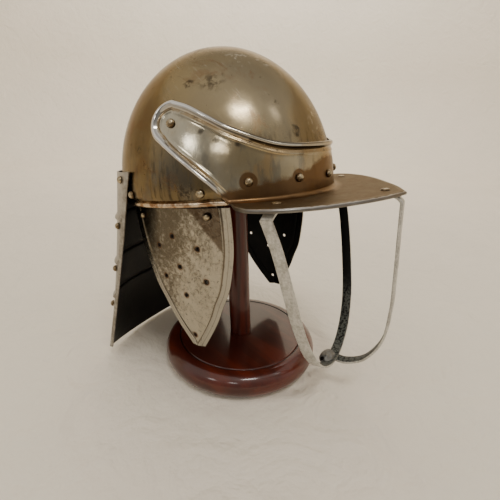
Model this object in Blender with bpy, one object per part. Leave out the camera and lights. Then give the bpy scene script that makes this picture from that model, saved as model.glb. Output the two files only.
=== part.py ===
"""A lobster-tail pot helmet on a turned wooden stand.

Everything on the helmet is modelled in the helmet's own frame and parented to one empty: the
origin is the middle of the skull at its widest level, -Y is the front, -X is the wearer's right
and +Z is the crown. The empty is then set on the stand, tipped nose up as the helmet sits there.
The stand stands on the floor with its base centred on the world's origin.
"""

import math

import bmesh
import bpy
from mathutils import Matrix, Vector

# Stand
BASE_DIAMETER = 0.180
BASE_HEIGHT = 0.029
GROOVE_DIAMETER = 0.156
GROOVE_WIDTH = 0.0020
GROOVE_DEPTH = 0.0012
NOSE_STEPS = 6
BASE_SIDES = 40
POST_DIAMETER = 0.0248
POST_SIDES = 20
HEAD_DIAMETER = 0.076
HEAD_HEIGHT = 0.018
HEAD_NECK_DIAMETER = 0.044
HEAD_SIDES = 24
HEAD_TOP_RINGS = (1.0, 0.55, 0.05)
POST_LEAN_BACK = math.radians(4.1)

# How the helmet sits on the stand
SKULL_LEVEL = 0.2116
SKULL_SET_BACK = 0.0209
NOSE_UP = math.radians(8.2)

# Sheet metal and leather
SHEET = 0.0014
LEATHER = 0.0022
GAP = 0.0003
FACET_ALLOWANCE = 0.0002
SHARP_ANGLE = math.radians(40.0)

# Skull
SKULL_WIDTH = 0.2125
SKULL_LENGTH = 0.2170
DOME_HEIGHT = 0.1250
WALL_DEPTH = 0.0113
WALL_PINCH = 0.0032
RIM_ROLL_HEIGHT = 0.0048
RIM_ROLL_PROUD = 0.0022
SKULL_SEGMENTS = 44
DOME_RINGS = 9
INNER_RINGS = 7

# Rows: share of the rim roll's stand-out, share of its height down from its top
RIM_ROLL = ((0.0, 0.0), (1.0, 0.30), (1.0, 0.70), (0.0, 1.0))
RIM_ROLL_TURN_UP = 0.80

# Peak: the brow band, its two arms and the brim are one plate
ARM_RIVET_ANGLE = math.radians(80.0)
ARM_RIVET_HEIGHT = 0.0541
ARM_END_RADIUS = 0.0185
BAND_FRONT_HEIGHT = 0.0305
CORNER_ANGLE = math.radians(57.0)
ARM_LOWER_BULGE = 0.0022
ARM_LOWER_SWEEP = 0.62
ARM_SPINE_SETTLES = 0.75
BEAD_HEIGHT = 0.0030
BORDER_WIDTH = 0.0105
BRIM_WIDTH = 0.2220
BRIM_REACH = 0.0690
BRIM_LEVEL = 0.0122
BRIM_DROP = math.radians(1.7)
BRIM_DISH = 0.0028
BRIM_EDGE_THICKNESS = 0.0034
BRIM_FILLET = 0.0030
BRIM_EDGE_SETTLES = 0.8

# Rows: share of the angle to the arm's rivet, share of the rise from the brow to the arm's top
BAND_TOP = (
    (0.00, 0.000),
    (0.19, 0.012),
    (0.35, 0.050),
    (0.48, 0.153),
    (0.66, 0.422),
    (0.78, 0.662),
    (0.89, 0.870),
    (1.00, 1.000),
)

# Rows: share of half the brim's width, share of the way from the corner forward to the tip
BRIM_OUTLINE = (
    (0.000, 1.000),
    (0.250, 0.913),
    (0.540, 0.762),
    (0.770, 0.610),
    (0.923, 0.456),
    (1.000, 0.300),
    (0.972, 0.170),
    (0.820, 0.000),
)

# Rows: share of the border's width in from the edge, share of the bead's height
BEAD_PROFILE = ((0.0, 0.0), (0.12, 0.50), (0.28, 1.0), (0.50, 0.45), (0.72, 0.0))

# Rows: share of the brim edge's thickness in from the outline, share of it down
BRIM_ROLL = ((1.7, 0.0), (0.7, 0.05), (0.2, 0.25), (0.0, 0.62), (0.15, 1.0))

# Neck guard
GUARD_TOP_LEVEL = 0.0205
GUARD_HEIGHT = 0.2035
GUARD_TOP_WIDTH = 0.2052
GUARD_BOTTOM_WIDTH = 0.1872
GUARD_FRONT_PAST_RIVET = 0.0010
GUARD_BOTTOM_FRONT = 0.1340
GUARD_EDGE_BULGE = 0.0018
GUARD_BOTTOM_BACK = 0.1530
GUARD_BOTTOM_ARCH = 0.0060
GUARD_STAND_OFF = 0.0008
GUARD_WRAP = math.radians(71.0)
GUARD_FLANGE = 0.0050
LAME_RIDGE_HEIGHT = 0.0020
LAME_RIDGE_LENGTH = 0.0070
GUARD_RIVET_INSET = 0.0080
GUARD_COLUMNS = 14

# Rows: share of the ridge's length above its foot, share of its height
LAME_RIDGE_PROFILE = ((1.0, 0.0), (0.45, 1.0), (0.15, 1.0), (0.0, 0.0))

# Shares of the guard's height down to each lame's lower ridge, and to each side rivet
LAME_RIDGES = (0.226, 0.455, 0.655)
GUARD_RIVETS = (0.034, 0.250, 0.479, 0.696)

# Cheekpieces
CHEEK_SPREAD = 0.1690
CHEEK_TOP_LEVEL = 0.0150
CHEEK_LENGTH = 0.1390
CHEEK_WIDTH = 0.1130
CHEEK_SET_BACK = 0.0045
CHEEK_LEAN_BACK = 0.0060
CHEEK_DISH = 0.0055
CHEEK_FLANGE = 0.0072
CHEEK_RIDGE_WIDTH = 0.0030
CHEEK_RIDGE_HEIGHT = 0.0011
CHEEK_FIELD_RISE = 0.0012
CHEEK_FLANGE_MOST = 0.45
CHEEK_RIDGE_MOST = 0.25
CHEEK_SHOULDER = 0.45
CHEEK_LEVELS_CROWD = 1.15
BREATH_DIAMETER = 0.0038
BREATH_SIDES = 6

# Rows: share of the length down from the top, share of half the width
CHEEK_OUTLINE = (
    (0.00, 1.000),
    (0.14, 0.990),
    (0.30, 0.950),
    (0.48, 0.840),
    (0.58, 0.755),
    (0.67, 0.635),
    (0.78, 0.500),
    (0.88, 0.345),
    (1.00, 0.135),
)

# Rows: share of the length down from the top, share of half the width back from the axis
BREATH_HOLES = (
    (0.186, 0.138),
    (0.261, 0.502),
    (0.265, -0.343),
    (0.402, 0.092),
    (0.486, 0.480),
    (0.491, -0.406),
    (0.608, 0.058),
    (0.914, 0.028),
)

# Straps that hang the cheekpieces, inside the skull's wall
STRAP_WIDTH = 0.0150
STRAP_TOP_LEVEL = 0.0080
STRAP_TAIL = 0.0080
STRAP_ANGLES = (math.radians(68.6), math.radians(110.2))
STRAP_KNEE = 0.30
CHEEK_RIVET_DOWN = 0.0070

# Shares of half the cheekpiece's width back from its axis to each strap's rivet
CHEEK_RIVETS = (-0.628, 0.775)

# Face guard
BAR_WIDTH = 0.0105
BAR_THICKNESS = 0.0025
BAR_FLANGE = 0.0120
SIDE_FLANGE_SHARES = (0.50, 0.45)
CENTRE_FLANGE_SHARES = (0.50, 0.75)
SIDE_BAR_SPREAD = 0.1830
SIDE_BAR_FORWARD = 0.0925
SIDE_BAR_BEND = 0.0214
CHIN_FORWARD = 0.1110
CHIN_LEVEL = 0.1905
CENTRE_BAR_FORWARD = 0.1746
CENTRE_BAR_BEND = 0.0212
WELD_LUMP = (0.0240, 0.0150, 0.0130)
WELD_LUMP_OFFSET = (-0.0060, 0.0045, 0.0010)

# Rows: share of the spread, share of the way forward to the chin, share of the drop to the chin
SIDE_BAR = (
    (1.00, 0.00, 0.00),
    (0.96, 0.33, 0.16),
    (0.90, 0.55, 0.36),
    (0.83, 0.70, 0.54),
    (0.75, 0.82, 0.68),
    (0.64, 0.90, 0.80),
    (0.46, 0.96, 0.91),
    (0.23, 0.99, 0.978),
    (0.00, 1.00, 1.00),
)

# Rows: share of the way forward from the chin to the bend, share of the drop to the chin
CENTRE_BAR = (
    (1.00, 0.00),
    (0.975, 0.16),
    (0.935, 0.435),
    (0.895, 0.620),
    (0.790, 0.810),
    (0.540, 0.950),
    (0.240, 1.005),
    (0.00, 1.00),
)

# Rivets
RIVET_HEAD_DIAMETER = 0.0074
RIVET_HEAD_HEIGHT = 0.0032
GUARD_RIVET_DIAMETER = 0.0068
GUARD_RIVET_HEIGHT = 0.0034
BRIM_RIVET_DIAMETER = 0.0080
BRIM_RIVET_HEIGHT = 0.0014
SHANK_DIAMETER = 0.0032
TAIL_DIAMETER = 0.0052
TAIL_HEIGHT = 0.0011
TAIL_CLEARANCE = 0.0009
RIVET_SIDES = 8
RIVET_SHOULDER = (0.68, 0.74)
BROW_RIVET_STEP = math.radians(24.0)
BROW_RIVET_HEIGHT = 0.0021
BROW_RIVET_RISE = 0.0019
BRIM_RIVET_SPREAD = 0.1670
BRIM_RIVET_FORWARD = 0.0980
BRIM_TIP_RIVET_BACK = 0.0170

# Fineness of the lattices
CREASE_COLUMNS = 9
ARM_COLUMNS = 4
ARM_END_COLUMNS = 7
BRIM_ROWS = (0.5,)
CHEEK_LEVELS = 10
SIDE_BAR_STEPS = 13
CENTRE_BAR_STEPS = 14
DRILL_OVERRUN = 0.0040

# Places worked out from the sizes above
BAND_LIFT = GAP + FACET_ALLOWANCE + SHEET
BRIM_TIP = SKULL_LENGTH / 2 + BRIM_REACH


def clear_scene():
    for obj in list(bpy.data.objects):
        bpy.data.objects.remove(obj, do_unlink=True)


def finish(name, colour, roughness, metallic):
    material = bpy.data.materials.new(name)
    material.use_nodes = True
    shader = material.node_tree.nodes["Principled BSDF"]
    shader.inputs["Base Color"].default_value = (*colour, 1.0)
    shader.inputs["Roughness"].default_value = roughness
    shader.inputs["Metallic"].default_value = metallic
    return material


def add_object(name, bm, material=None, parent=None):
    """Makes an object of the bmesh, shaded smooth apart from its sharp edges."""
    mesh = bpy.data.meshes.new(name)
    bm.to_mesh(mesh)
    bm.free()
    mesh.shade_smooth()
    mesh.set_sharp_from_angle(angle=SHARP_ANGLE)
    obj = bpy.data.objects.new(name, mesh)
    bpy.context.scene.collection.objects.link(obj)
    if material:
        mesh.materials.append(material)
    obj.parent = parent
    return obj


def as_helper(obj):
    obj.hide_render = True
    obj.display_type = "WIRE"
    return obj


def lattice(rows, closed=False):
    """A bmesh of quads between neighbouring rows of points; closed joins each row's two ends."""
    bm = bmesh.new()
    verts = [[bm.verts.new(point) for point in row] for row in rows]
    for low, high in zip(verts, verts[1:]):
        count = len(low)
        for i in range(count if closed else count - 1):
            j = (i + 1) % count
            bm.faces.new((low[i], low[j], high[j], high[i]))
    return bm


def weld(bm):
    bmesh.ops.remove_doubles(bm, verts=bm.verts, dist=1e-6)
    bmesh.ops.dissolve_degenerate(bm, edges=bm.edges, dist=1e-7)


def face_away_from(bm, inside):
    """Turns an open sheet's faces so that, on the whole, they look away from a point."""
    bm.normal_update()
    looking = sum(f.calc_area() * f.normal.dot(f.calc_center_median() - inside) for f in bm.faces)
    if looking < 0:
        bmesh.ops.reverse_faces(bm, faces=bm.faces)


def close_solid(bm):
    weld(bm)
    bmesh.ops.holes_fill(bm, edges=[e for e in bm.edges if e.is_boundary], sides=0)
    bmesh.ops.recalc_face_normals(bm, faces=bm.faces)


def turned(profile, sides):
    """Spins (radius, height) points about Z into a closed solid."""
    bm = bmesh.new()
    verts = [bm.verts.new((radius, 0.0, height)) for radius, height in profile]
    edges = [bm.edges.new(pair) for pair in zip(verts, verts[1:])]
    bmesh.ops.spin(
        bm, geom=verts + edges, cent=(0, 0, 0), axis=(0, 0, 1), angle=math.tau, steps=sides
    )
    close_solid(bm)
    return bm


def smooth_through(rows, share):
    """The point at a share of the way along a smooth curve through the rows."""
    place = min(max(share, 0.0), 1.0) * (len(rows) - 1)
    i = min(int(place), len(rows) - 2)
    t = place - i
    before, start, end, after = (
        Vector(rows[min(max(k, 0), len(rows) - 1)]) for k in (i - 1, i, i + 1, i + 2)
    )
    if i == 0:
        before = 2 * start - end
    if i == len(rows) - 2:
        after = 2 * end - start
    return 0.5 * (
        2 * start
        + (end - before) * t
        + (2 * before - 5 * start + 4 * end - after) * t * t
        + (3 * start - before - 3 * end + after) * t**3
    )


def height_at(rows, share):
    """The second column of a table at a share in its first, along a smooth curve."""
    low, high = 0.0, 1.0
    for _ in range(40):
        middle = (low + high) / 2
        if smooth_through(rows, middle)[0] < share:
            low = middle
        else:
            high = middle
    return smooth_through(rows, low)[1]


def add_solidify(obj, thickness):
    wall = obj.modifiers.new("wall", "SOLIDIFY")
    wall.thickness = thickness
    wall.offset = -1.0
    return wall


def add_boolean(obj, other, operation):
    cut = obj.modifiers.new(operation.lower(), "BOOLEAN")
    cut.object = other
    cut.operation = operation
    cut.solver = "EXACT"


def skull_ring(height):
    """The share of the skull's widest ring that is left at a height above it."""
    return math.sqrt(max(0.0, 1.0 - (max(height, 0.0) / DOME_HEIGHT) ** 2))


def skull_place(angle, height, lift=0.0):
    """A point over the skull: angle from the front towards the wearer's right, and its lift."""
    share = skull_ring(height)
    point = Vector(
        (
            -SKULL_WIDTH / 2 * share * math.sin(angle),
            -SKULL_LENGTH / 2 * share * math.cos(angle),
            height,
        )
    )
    return point + lift * skull_normal(angle, height)


def skull_normal(angle, height):
    share = skull_ring(height)
    across = -math.sin(angle) * share * 2 / SKULL_WIDTH
    along = -math.cos(angle) * share * 2 / SKULL_LENGTH
    up = max(height, 0.0) / DOME_HEIGHT**2
    return Vector((across, along, up)).normalized()


# Stand


def base_profile():
    """A round base with a bullnose edge and one turned groove near the edge of its top."""
    nose = BASE_HEIGHT / 2
    edge = BASE_DIAMETER / 2 - nose
    turns = [-math.pi / 2 + math.pi * k / NOSE_STEPS for k in range(NOSE_STEPS + 1)]
    rounded = [(edge + nose * math.cos(a), nose + nose * math.sin(a)) for a in turns]
    outer = min(GROOVE_DIAMETER / 2, edge - GROOVE_WIDTH)
    groove = [
        (outer, BASE_HEIGHT),
        (outer - GROOVE_WIDTH / 2, BASE_HEIGHT - GROOVE_DEPTH),
        (outer - GROOVE_WIDTH, BASE_HEIGHT),
    ]
    return [(0.0, 0.0)] + rounded + groove + [(0.0, BASE_HEIGHT)]


def to_helmet(point):
    """A point of the world in the helmet's frame."""
    return helmet_matrix().inverted() @ Vector(point)


def helmet_matrix():
    place = Matrix.Translation((0.0, SKULL_SET_BACK, SKULL_LEVEL))
    return place @ Matrix.Rotation(-NOSE_UP, 4, "X")


def crown_height(x, y):
    """How high the stand's head may reach over a point of the floor, just under the skull."""
    ring_sag = DOME_HEIGHT * (1 - math.cos(math.pi / 4 / INNER_RINGS))
    segment_sag = SKULL_LENGTH / 2 * (1 - math.cos(math.pi / SKULL_SEGMENTS))
    inset = SHEET + GAP + ring_sag + segment_sag
    radii = Vector((SKULL_WIDTH / 2 - inset, SKULL_LENGTH / 2 - inset, DOME_HEIGHT - inset))
    start = to_helmet((x, y, 0.0))
    step = to_helmet((x, y, 1.0)) - start
    scaled_start = Vector(s / r for s, r in zip(start, radii))
    scaled_step = Vector(s / r for s, r in zip(step, radii))
    a = scaled_step.dot(scaled_step)
    b = 2 * scaled_start.dot(scaled_step)
    c = scaled_start.dot(scaled_start) - 1.0
    return (-b + math.sqrt(max(0.0, b * b - 4 * a * c))) / (2 * a)


def post_back(height):
    """How far back the leaning post's axis lies at a height."""
    return (height - BASE_HEIGHT) * math.tan(POST_LEAN_BACK)


def head_back():
    """Where the head is centred, taken at the level of the skull's widest ring."""
    return post_back(SKULL_LEVEL + DOME_HEIGHT / 2)


def head_underside():
    """The level of the head's flat underside, its own height below the lowest point of its rim."""
    radius, back = HEAD_DIAMETER / 2, head_back()
    turns = [math.tau * k / SKULL_SEGMENTS for k in range(SKULL_SEGMENTS)]
    lowest = min(crown_height(radius * math.cos(a), back + radius * math.sin(a)) for a in turns)
    return lowest - HEAD_HEIGHT


def make_stand(wood):
    make_base(wood)
    make_post(wood)
    make_head(wood)


def make_base(wood):
    add_object("stand_base", turned(base_profile(), BASE_SIDES), wood)


def make_post(wood):
    """The round post, which leans back a little under the helmet."""
    radius = POST_DIAMETER / 2
    turns = [math.tau * k / POST_SIDES for k in range(POST_SIDES)]
    rows = [
        [Vector((radius * math.cos(a), post_back(z) + radius * math.sin(a), z)) for a in turns]
        for z in (BASE_HEIGHT + GAP, head_underside() - GAP)
    ]
    bm = lattice(rows, closed=True)
    close_solid(bm)
    add_object("stand_post", bm, wood)


def make_head(wood):
    """The turned head under the crown, its top shaped to the skull's inside."""
    underside, back = head_underside(), head_back()
    turns = [math.tau * k / HEAD_SIDES for k in range(HEAD_SIDES)]

    def top_ring(radius):
        spots = [(radius * math.cos(a), radius * math.sin(a)) for a in turns]
        return [Vector((x, y, crown_height(x, y + back) - underside)) for x, y in spots]

    def flat_ring(radius, height):
        return [Vector((radius * math.cos(a), radius * math.sin(a), height)) for a in turns]

    radius = HEAD_DIAMETER / 2
    rows = [
        flat_ring(HEAD_NECK_DIAMETER / 2, 0.0),
        flat_ring(radius, HEAD_HEIGHT / 2),
    ]
    rows += [top_ring(radius * share) for share in HEAD_TOP_RINGS]
    bm = lattice(rows, closed=True)
    close_solid(bm)
    head = add_object("stand_head", bm, wood)
    head.location = (0.0, back, underside)


# Skull


def skull_sections():
    """(share of the widest ring, lift, height) of each ring, over the outside and back inside."""
    turns = [math.pi / 2 * k / DOME_RINGS for k in range(1, DOME_RINGS + 1)]
    inner_turns = [math.pi / 2 * k / INNER_RINGS for k in range(1, INNER_RINGS + 1)]
    outside = [(math.sin(a), 0.0, DOME_HEIGHT * math.cos(a)) for a in turns]
    roll_top = WALL_DEPTH - RIM_ROLL_HEIGHT
    roll = [
        (1.0, out * RIM_ROLL_PROUD - WALL_PINCH, -roll_top - down * RIM_ROLL_HEIGHT)
        for out, down in RIM_ROLL
    ]
    turn_up = [
        (1.0, -WALL_PINCH - SHEET, -roll_top - RIM_ROLL_TURN_UP * RIM_ROLL_HEIGHT),
        (1.0, -WALL_PINCH - SHEET, -roll_top),
    ]
    inner_height = DOME_HEIGHT - SHEET
    inside = [(math.sin(a), -SHEET * math.sin(a), inner_height * math.cos(a)) for a in inner_turns]
    return outside + roll + turn_up + inside[::-1]


def make_skull(steel, parent):
    """The spun bowl: a dome, a short wall pinched in below it, and a rolled rim."""
    turns = [math.tau * k / SKULL_SEGMENTS for k in range(SKULL_SEGMENTS)]
    rows = []
    for share, lift, height in skull_sections():
        across = SKULL_WIDTH / 2 * share + lift
        along = SKULL_LENGTH / 2 * share + lift
        rows.append([Vector((-across * math.sin(a), -along * math.cos(a), height)) for a in turns])
    rows.insert(0, [Vector((0.0, 0.0, DOME_HEIGHT))] * SKULL_SEGMENTS)
    rows.append([Vector((0.0, 0.0, DOME_HEIGHT - SHEET))] * SKULL_SEGMENTS)
    bm = lattice_to_poles(rows)
    return add_object("skull", bm, steel, parent)


def lattice_to_poles(rows):
    """A closed lattice whose first and last rows are each one point."""
    bm = lattice(rows, closed=True)
    bmesh.ops.remove_doubles(bm, verts=bm.verts, dist=1e-6)
    bmesh.ops.recalc_face_normals(bm, faces=bm.faces)
    return bm


# Peak


def brim_height(x, y):
    """The brim's top drops a little towards its tip and is dished a little across."""
    dish = BRIM_DISH * (2 * x / BRIM_WIDTH) ** 2
    return dish - BRIM_LEVEL - (-y - SKULL_LENGTH / 2) * math.tan(BRIM_DROP)


def crease_height(angle):
    x, y, _ = skull_place(angle, 0.0, BAND_LIFT)
    return brim_height(x, y)


def band_top(share):
    """(angle, height) on the band's upper edge, from the front to over the arm's rivet."""
    angle = share * ARM_RIVET_ANGLE
    rise = ARM_RIVET_HEIGHT + ARM_END_RADIUS * arm_upright() - BAND_FRONT_HEIGHT
    return angle, BAND_FRONT_HEIGHT + rise * height_at(BAND_TOP, share)


def arm_upright():
    """How much of a step up the skull's slope at the arm's rivet is a step in height."""
    return math.sqrt(1.0 - skull_normal(ARM_RIVET_ANGLE, ARM_RIVET_HEIGHT).z ** 2)


def arm_end(turn):
    """(angle, height) on the arm's round end, turn 0 towards the back and a quarter turn up."""
    across = ARM_END_RADIUS * math.cos(turn)
    up = ARM_END_RADIUS * math.sin(turn) * arm_upright()
    ring = SKULL_WIDTH / 2 * skull_ring(ARM_RIVET_HEIGHT + up)
    return ARM_RIVET_ANGLE + across / ring, ARM_RIVET_HEIGHT + up


def arm_lower_turn():
    """Where the arm's lower edge runs into its round end."""
    run = (ARM_RIVET_ANGLE - CORNER_ANGLE) * SKULL_WIDTH / 2
    return -math.pi / 2 + math.atan2(ARM_RIVET_HEIGHT + BRIM_LEVEL, run) * ARM_LOWER_SWEEP


def arm_lower(share):
    """(angle, height) on the arm's lower edge, from the brim's corner to its round end."""
    start = Vector((CORNER_ANGLE, crease_height(CORNER_ANGLE)))
    end = Vector(arm_end(arm_lower_turn()))
    bulge = Vector((0.0, ARM_LOWER_BULGE * math.sin(math.pi * share)))
    return tuple(start.lerp(end, share) + bulge)


def band_rows():
    """Rows of lifted points from the plate's edge in to its spine, once round the right half."""
    corner_share = CREASE_COLUMNS / (CREASE_COLUMNS + ARM_COLUMNS)
    tops = [k / (CREASE_COLUMNS + ARM_COLUMNS) for k in range(CREASE_COLUMNS + ARM_COLUMNS + 1)]

    def low_edge(share):
        if share <= corner_share:
            angle = share / corner_share * CORNER_ANGLE
            return angle, crease_height(angle), 0.0
        return *arm_lower((share - corner_share) / (1 - corner_share)), 1.0

    def spine(share):
        top, low = Vector(band_top(share)), Vector(low_edge(share)[:2])
        rivet = Vector((ARM_RIVET_ANGLE, ARM_RIVET_HEIGHT))
        settle = max(0.0, (share - ARM_SPINE_SETTLES) / (1 - ARM_SPINE_SETTLES))
        return top.lerp(low, 0.5).lerp(rivet, settle**2)

    columns = [(band_top(s), spine(s), 1.0) for s in tops]
    last = spine(1.0)
    turns = [
        math.pi / 2 + (arm_lower_turn() - math.pi / 2) * k / ARM_END_COLUMNS
        for k in range(1, ARM_END_COLUMNS)
    ]
    columns += [(arm_end(turn), last, 1.0) for turn in turns]
    for share in reversed(tops):
        angle, height, beaded = low_edge(share)
        columns.append(((angle, height), spine(share), beaded))
    return [band_column(Vector(edge), middle, beaded) for edge, middle, beaded in columns]


def band_column(edge, middle, beaded):
    """Points from an edge point in to the spine, lifted by the bead where the edge has one."""
    start = skull_place(*edge)
    span = (skull_place(*middle) - start).length
    points = []
    for inward, rise in BEAD_PROFILE:
        share = min(inward * BORDER_WIDTH / span, inward)
        angle, height = edge.lerp(middle, share)
        lift = BAND_LIFT + rise * BEAD_HEIGHT * beaded
        if not beaded:
            lift += BRIM_FILLET * max(0.0, 1 - inward * BORDER_WIDTH / BRIM_FILLET) ** 2
        points.append(skull_place(angle, height, lift))
    angle, height = middle
    points.append(skull_place(angle, height, BAND_LIFT))
    return points


def brim_edge(share):
    """A point of the brim's outline: share 0 at the tip and 1 at the corner on the right."""
    corner = skull_place(CORNER_ANGLE, 0.0, BAND_LIFT)
    across, forward = smooth_through(BRIM_OUTLINE, share)
    y = corner.y + forward * (-BRIM_TIP - corner.y)
    widest = BRIM_WIDTH / 2
    last = BRIM_OUTLINE[-1][0]
    x = across * widest
    if across >= last and share > BRIM_EDGE_SETTLES:
        settle = (share - BRIM_EDGE_SETTLES) / (1 - BRIM_EDGE_SETTLES)
        x += settle**2 * (-corner.x - last * widest)
    return Vector((-x, y, brim_height(x, y)))


def brim_rows():
    """Rows of points from the crease out to the rolled edge, from the front to the corner."""
    columns = []
    for k in range(CREASE_COLUMNS + 1):
        share = k / CREASE_COLUMNS
        angle = share * CORNER_ANGLE
        crease = skull_place(angle, crease_height(angle), BAND_LIFT + BRIM_FILLET)
        edge = brim_edge(share)
        if k == CREASE_COLUMNS:
            edge = crease.copy()
        outward = edge - crease
        width = outward.length
        points = [crease] + [crease + outward * part for part in BRIM_ROWS]
        shrink = min(1.0, width / (4 * BRIM_EDGE_THICKNESS))
        unit = outward / width if width else outward
        for inward, down in BRIM_ROLL:
            size = BRIM_EDGE_THICKNESS * shrink
            points.append(edge - unit * inward * size - Vector((0, 0, down * size)))
        columns.append(points)
    return columns


def make_peak(steel, parent):
    """One plate: the beaded band and arms, creased along the brow and turned out as the brim."""
    bm = lattice(band_rows())
    brim = bpy.data.meshes.new("brim")
    brim_bm = lattice(brim_rows())
    brim_bm.to_mesh(brim)
    brim_bm.free()
    bm.from_mesh(brim)
    bpy.data.meshes.remove(brim)
    weld(bm)
    bmesh.ops.recalc_face_normals(bm, faces=bm.faces)
    face_away_from(bm, Vector((0.0, 0.0, -DOME_HEIGHT)))
    peak = add_object("peak", bm, steel, parent)
    other_half = peak.modifiers.new("other_half", "MIRROR")
    other_half.merge_threshold = 0.0001
    add_solidify(peak, SHEET)
    return peak


# Neck guard


def guard_top_front():
    """The guard's top corners come just behind the back straps' rivets."""
    return skull_place(STRAP_ANGLES[1], 0.0).y + GUARD_FRONT_PAST_RIVET


def guard_frame(down):
    """(half width, front, back, level at the sides, level at the back) at a share of the way down."""
    half = (GUARD_TOP_WIDTH + (GUARD_BOTTOM_WIDTH - GUARD_TOP_WIDTH) * down) / 2
    top_front = guard_top_front()
    front = top_front + (GUARD_BOTTOM_FRONT - top_front) * down
    front -= GUARD_EDGE_BULGE * math.sin(math.pi * down)
    top_back = SKULL_LENGTH / 2 + GAP + FACET_ALLOWANCE + GUARD_STAND_OFF + SHEET
    back = top_back + (GUARD_BOTTOM_BACK - top_back) * down
    level = GUARD_TOP_LEVEL - GUARD_HEIGHT * down
    return half, front, back, level, level - GUARD_BOTTOM_ARCH * down


def guard_point(around, down):
    """A point of the guard's outside: around -1 at the right side to 1 at the left."""
    half, front, back, side_level, back_level = guard_frame(down)
    turn = around * GUARD_WRAP
    share = (math.cos(turn) - math.cos(GUARD_WRAP)) / (1 - math.cos(GUARD_WRAP))
    x = half * math.sin(turn) / math.sin(GUARD_WRAP)
    y = front + (back - front) * share
    level = side_level + (back_level - side_level) * share
    return Vector((x, y, level))


def guard_normal(around, down):
    step = 0.001
    sideways = guard_point(around + step, down) - guard_point(around - step, down)
    upwards = guard_point(around, down - step) - guard_point(around, down + step)
    return upwards.cross(sideways).normalized()


def guard_rows():
    """(share down, lift) of each row: flat lames with a raised ridge along each one's foot."""
    length = LAME_RIDGE_LENGTH / GUARD_HEIGHT
    rows = [(0.0, 0.0)]
    last = 0.0
    for ridge in LAME_RIDGES:
        rows += [(ridge - length * up, LAME_RIDGE_HEIGHT * rise) for up, rise in LAME_RIDGE_PROFILE]
        last = ridge
    rows += [((last + 1) / 2, 0.0), (1.0, 0.0)]
    return rows


def make_neck_guard(steel, parent):
    """One embossed plate: four lames in relief, flared down the neck, its side edges turned."""
    rows = []
    for down, lift in guard_rows():
        steps = [-1 + 2 * k / GUARD_COLUMNS for k in range(GUARD_COLUMNS + 1)]
        row = [guard_point(a, down) + lift * guard_normal(a, down) for a in steps]
        turned_edge = Vector((0.0, -GUARD_FLANGE, 0.0))
        row.insert(0, guard_point(-1, down) + turned_edge)
        row.append(guard_point(1, down) + turned_edge)
        rows.append(row)
    bm = lattice(rows)
    bmesh.ops.recalc_face_normals(bm, faces=bm.faces)
    face_away_from(bm, Vector((0.0, 0.0, -GUARD_HEIGHT / 2)))
    guard = add_object("neck_guard", bm, steel, parent)
    add_solidify(guard, SHEET)
    return guard


# Cheekpieces


def cheek_half_width(down):
    return CHEEK_WIDTH / 2 * height_at(CHEEK_OUTLINE, down)


def cheek_axis(down):
    return CHEEK_SET_BACK - CHEEK_LEAN_BACK * down


def cheek_place(down, along, lift=0.0):
    """A point of the right cheekpiece's outside: share down, and metres back from its axis."""
    reach = along / (CHEEK_WIDTH / 2)
    x = -CHEEK_SPREAD / 2 + CHEEK_DISH * reach * reach - lift
    return Vector((x, cheek_axis(down) + along, -CHEEK_TOP_LEVEL - CHEEK_LENGTH * down))


def cheek_row(down):
    """One level of the plate: a flat flange, a raised line inside it, and the raised field."""
    half = cheek_half_width(down)
    flange = min(CHEEK_FLANGE, CHEEK_FLANGE_MOST * half)
    ridge = min(CHEEK_RIDGE_WIDTH, CHEEK_RIDGE_MOST * half)
    side = [
        (half, 0.0),
        (half - flange, 0.0),
        (half - flange - ridge / 2, CHEEK_RIDGE_HEIGHT),
        (half - flange - ridge, CHEEK_FIELD_RISE / 3),
        (CHEEK_SHOULDER * (half - flange - ridge), CHEEK_FIELD_RISE),
    ]
    spots = [(-along, lift) for along, lift in side] + [(0.0, CHEEK_FIELD_RISE)] + side[::-1]
    return [cheek_place(down, along, lift) for along, lift in spots]


def cheek_tip_rows():
    """The levels down the plate, closer together towards its tip."""
    return [1 - (1 - k / CHEEK_LEVELS) ** CHEEK_LEVELS_CROWD for k in range(CHEEK_LEVELS + 1)]


def mirrored(bm):
    bmesh.ops.scale(bm, vec=(-1.0, 1.0, 1.0), verts=bm.verts)
    bmesh.ops.reverse_faces(bm, faces=bm.faces)


def make_cheekpiece(side, steel, parent):
    """A pointed plate with a turned flange, pierced with breathing holes."""
    bm = lattice([cheek_row(down) for down in cheek_tip_rows()])
    bmesh.ops.recalc_face_normals(bm, faces=bm.faces)
    face_away_from(bm, Vector((0.0, 0.0, -CHEEK_LENGTH / 2)))
    if side == "left":
        mirrored(bm)
    cheek = add_object(f"cheek_{side}", bm, steel, parent)
    add_solidify(cheek, SHEET)
    return cheek


def cheek_rivet_share():
    return CHEEK_RIVET_DOWN / CHEEK_LENGTH


def cheek_rivet_spots():
    """(strap's place, its angle on the skull, its rivet's metres back from the cheekpiece's axis)."""
    backs = [share * CHEEK_WIDTH / 2 for share in CHEEK_RIVETS]
    return list(zip(("front", "back"), STRAP_ANGLES, backs))


def strap_seat_lift():
    """How far inside the skull's widest ring a strap's middle lies, just inside the rolled rim."""
    return -WALL_PINCH - SHEET - GAP - FACET_ALLOWANCE - LEATHER / 2


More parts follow.
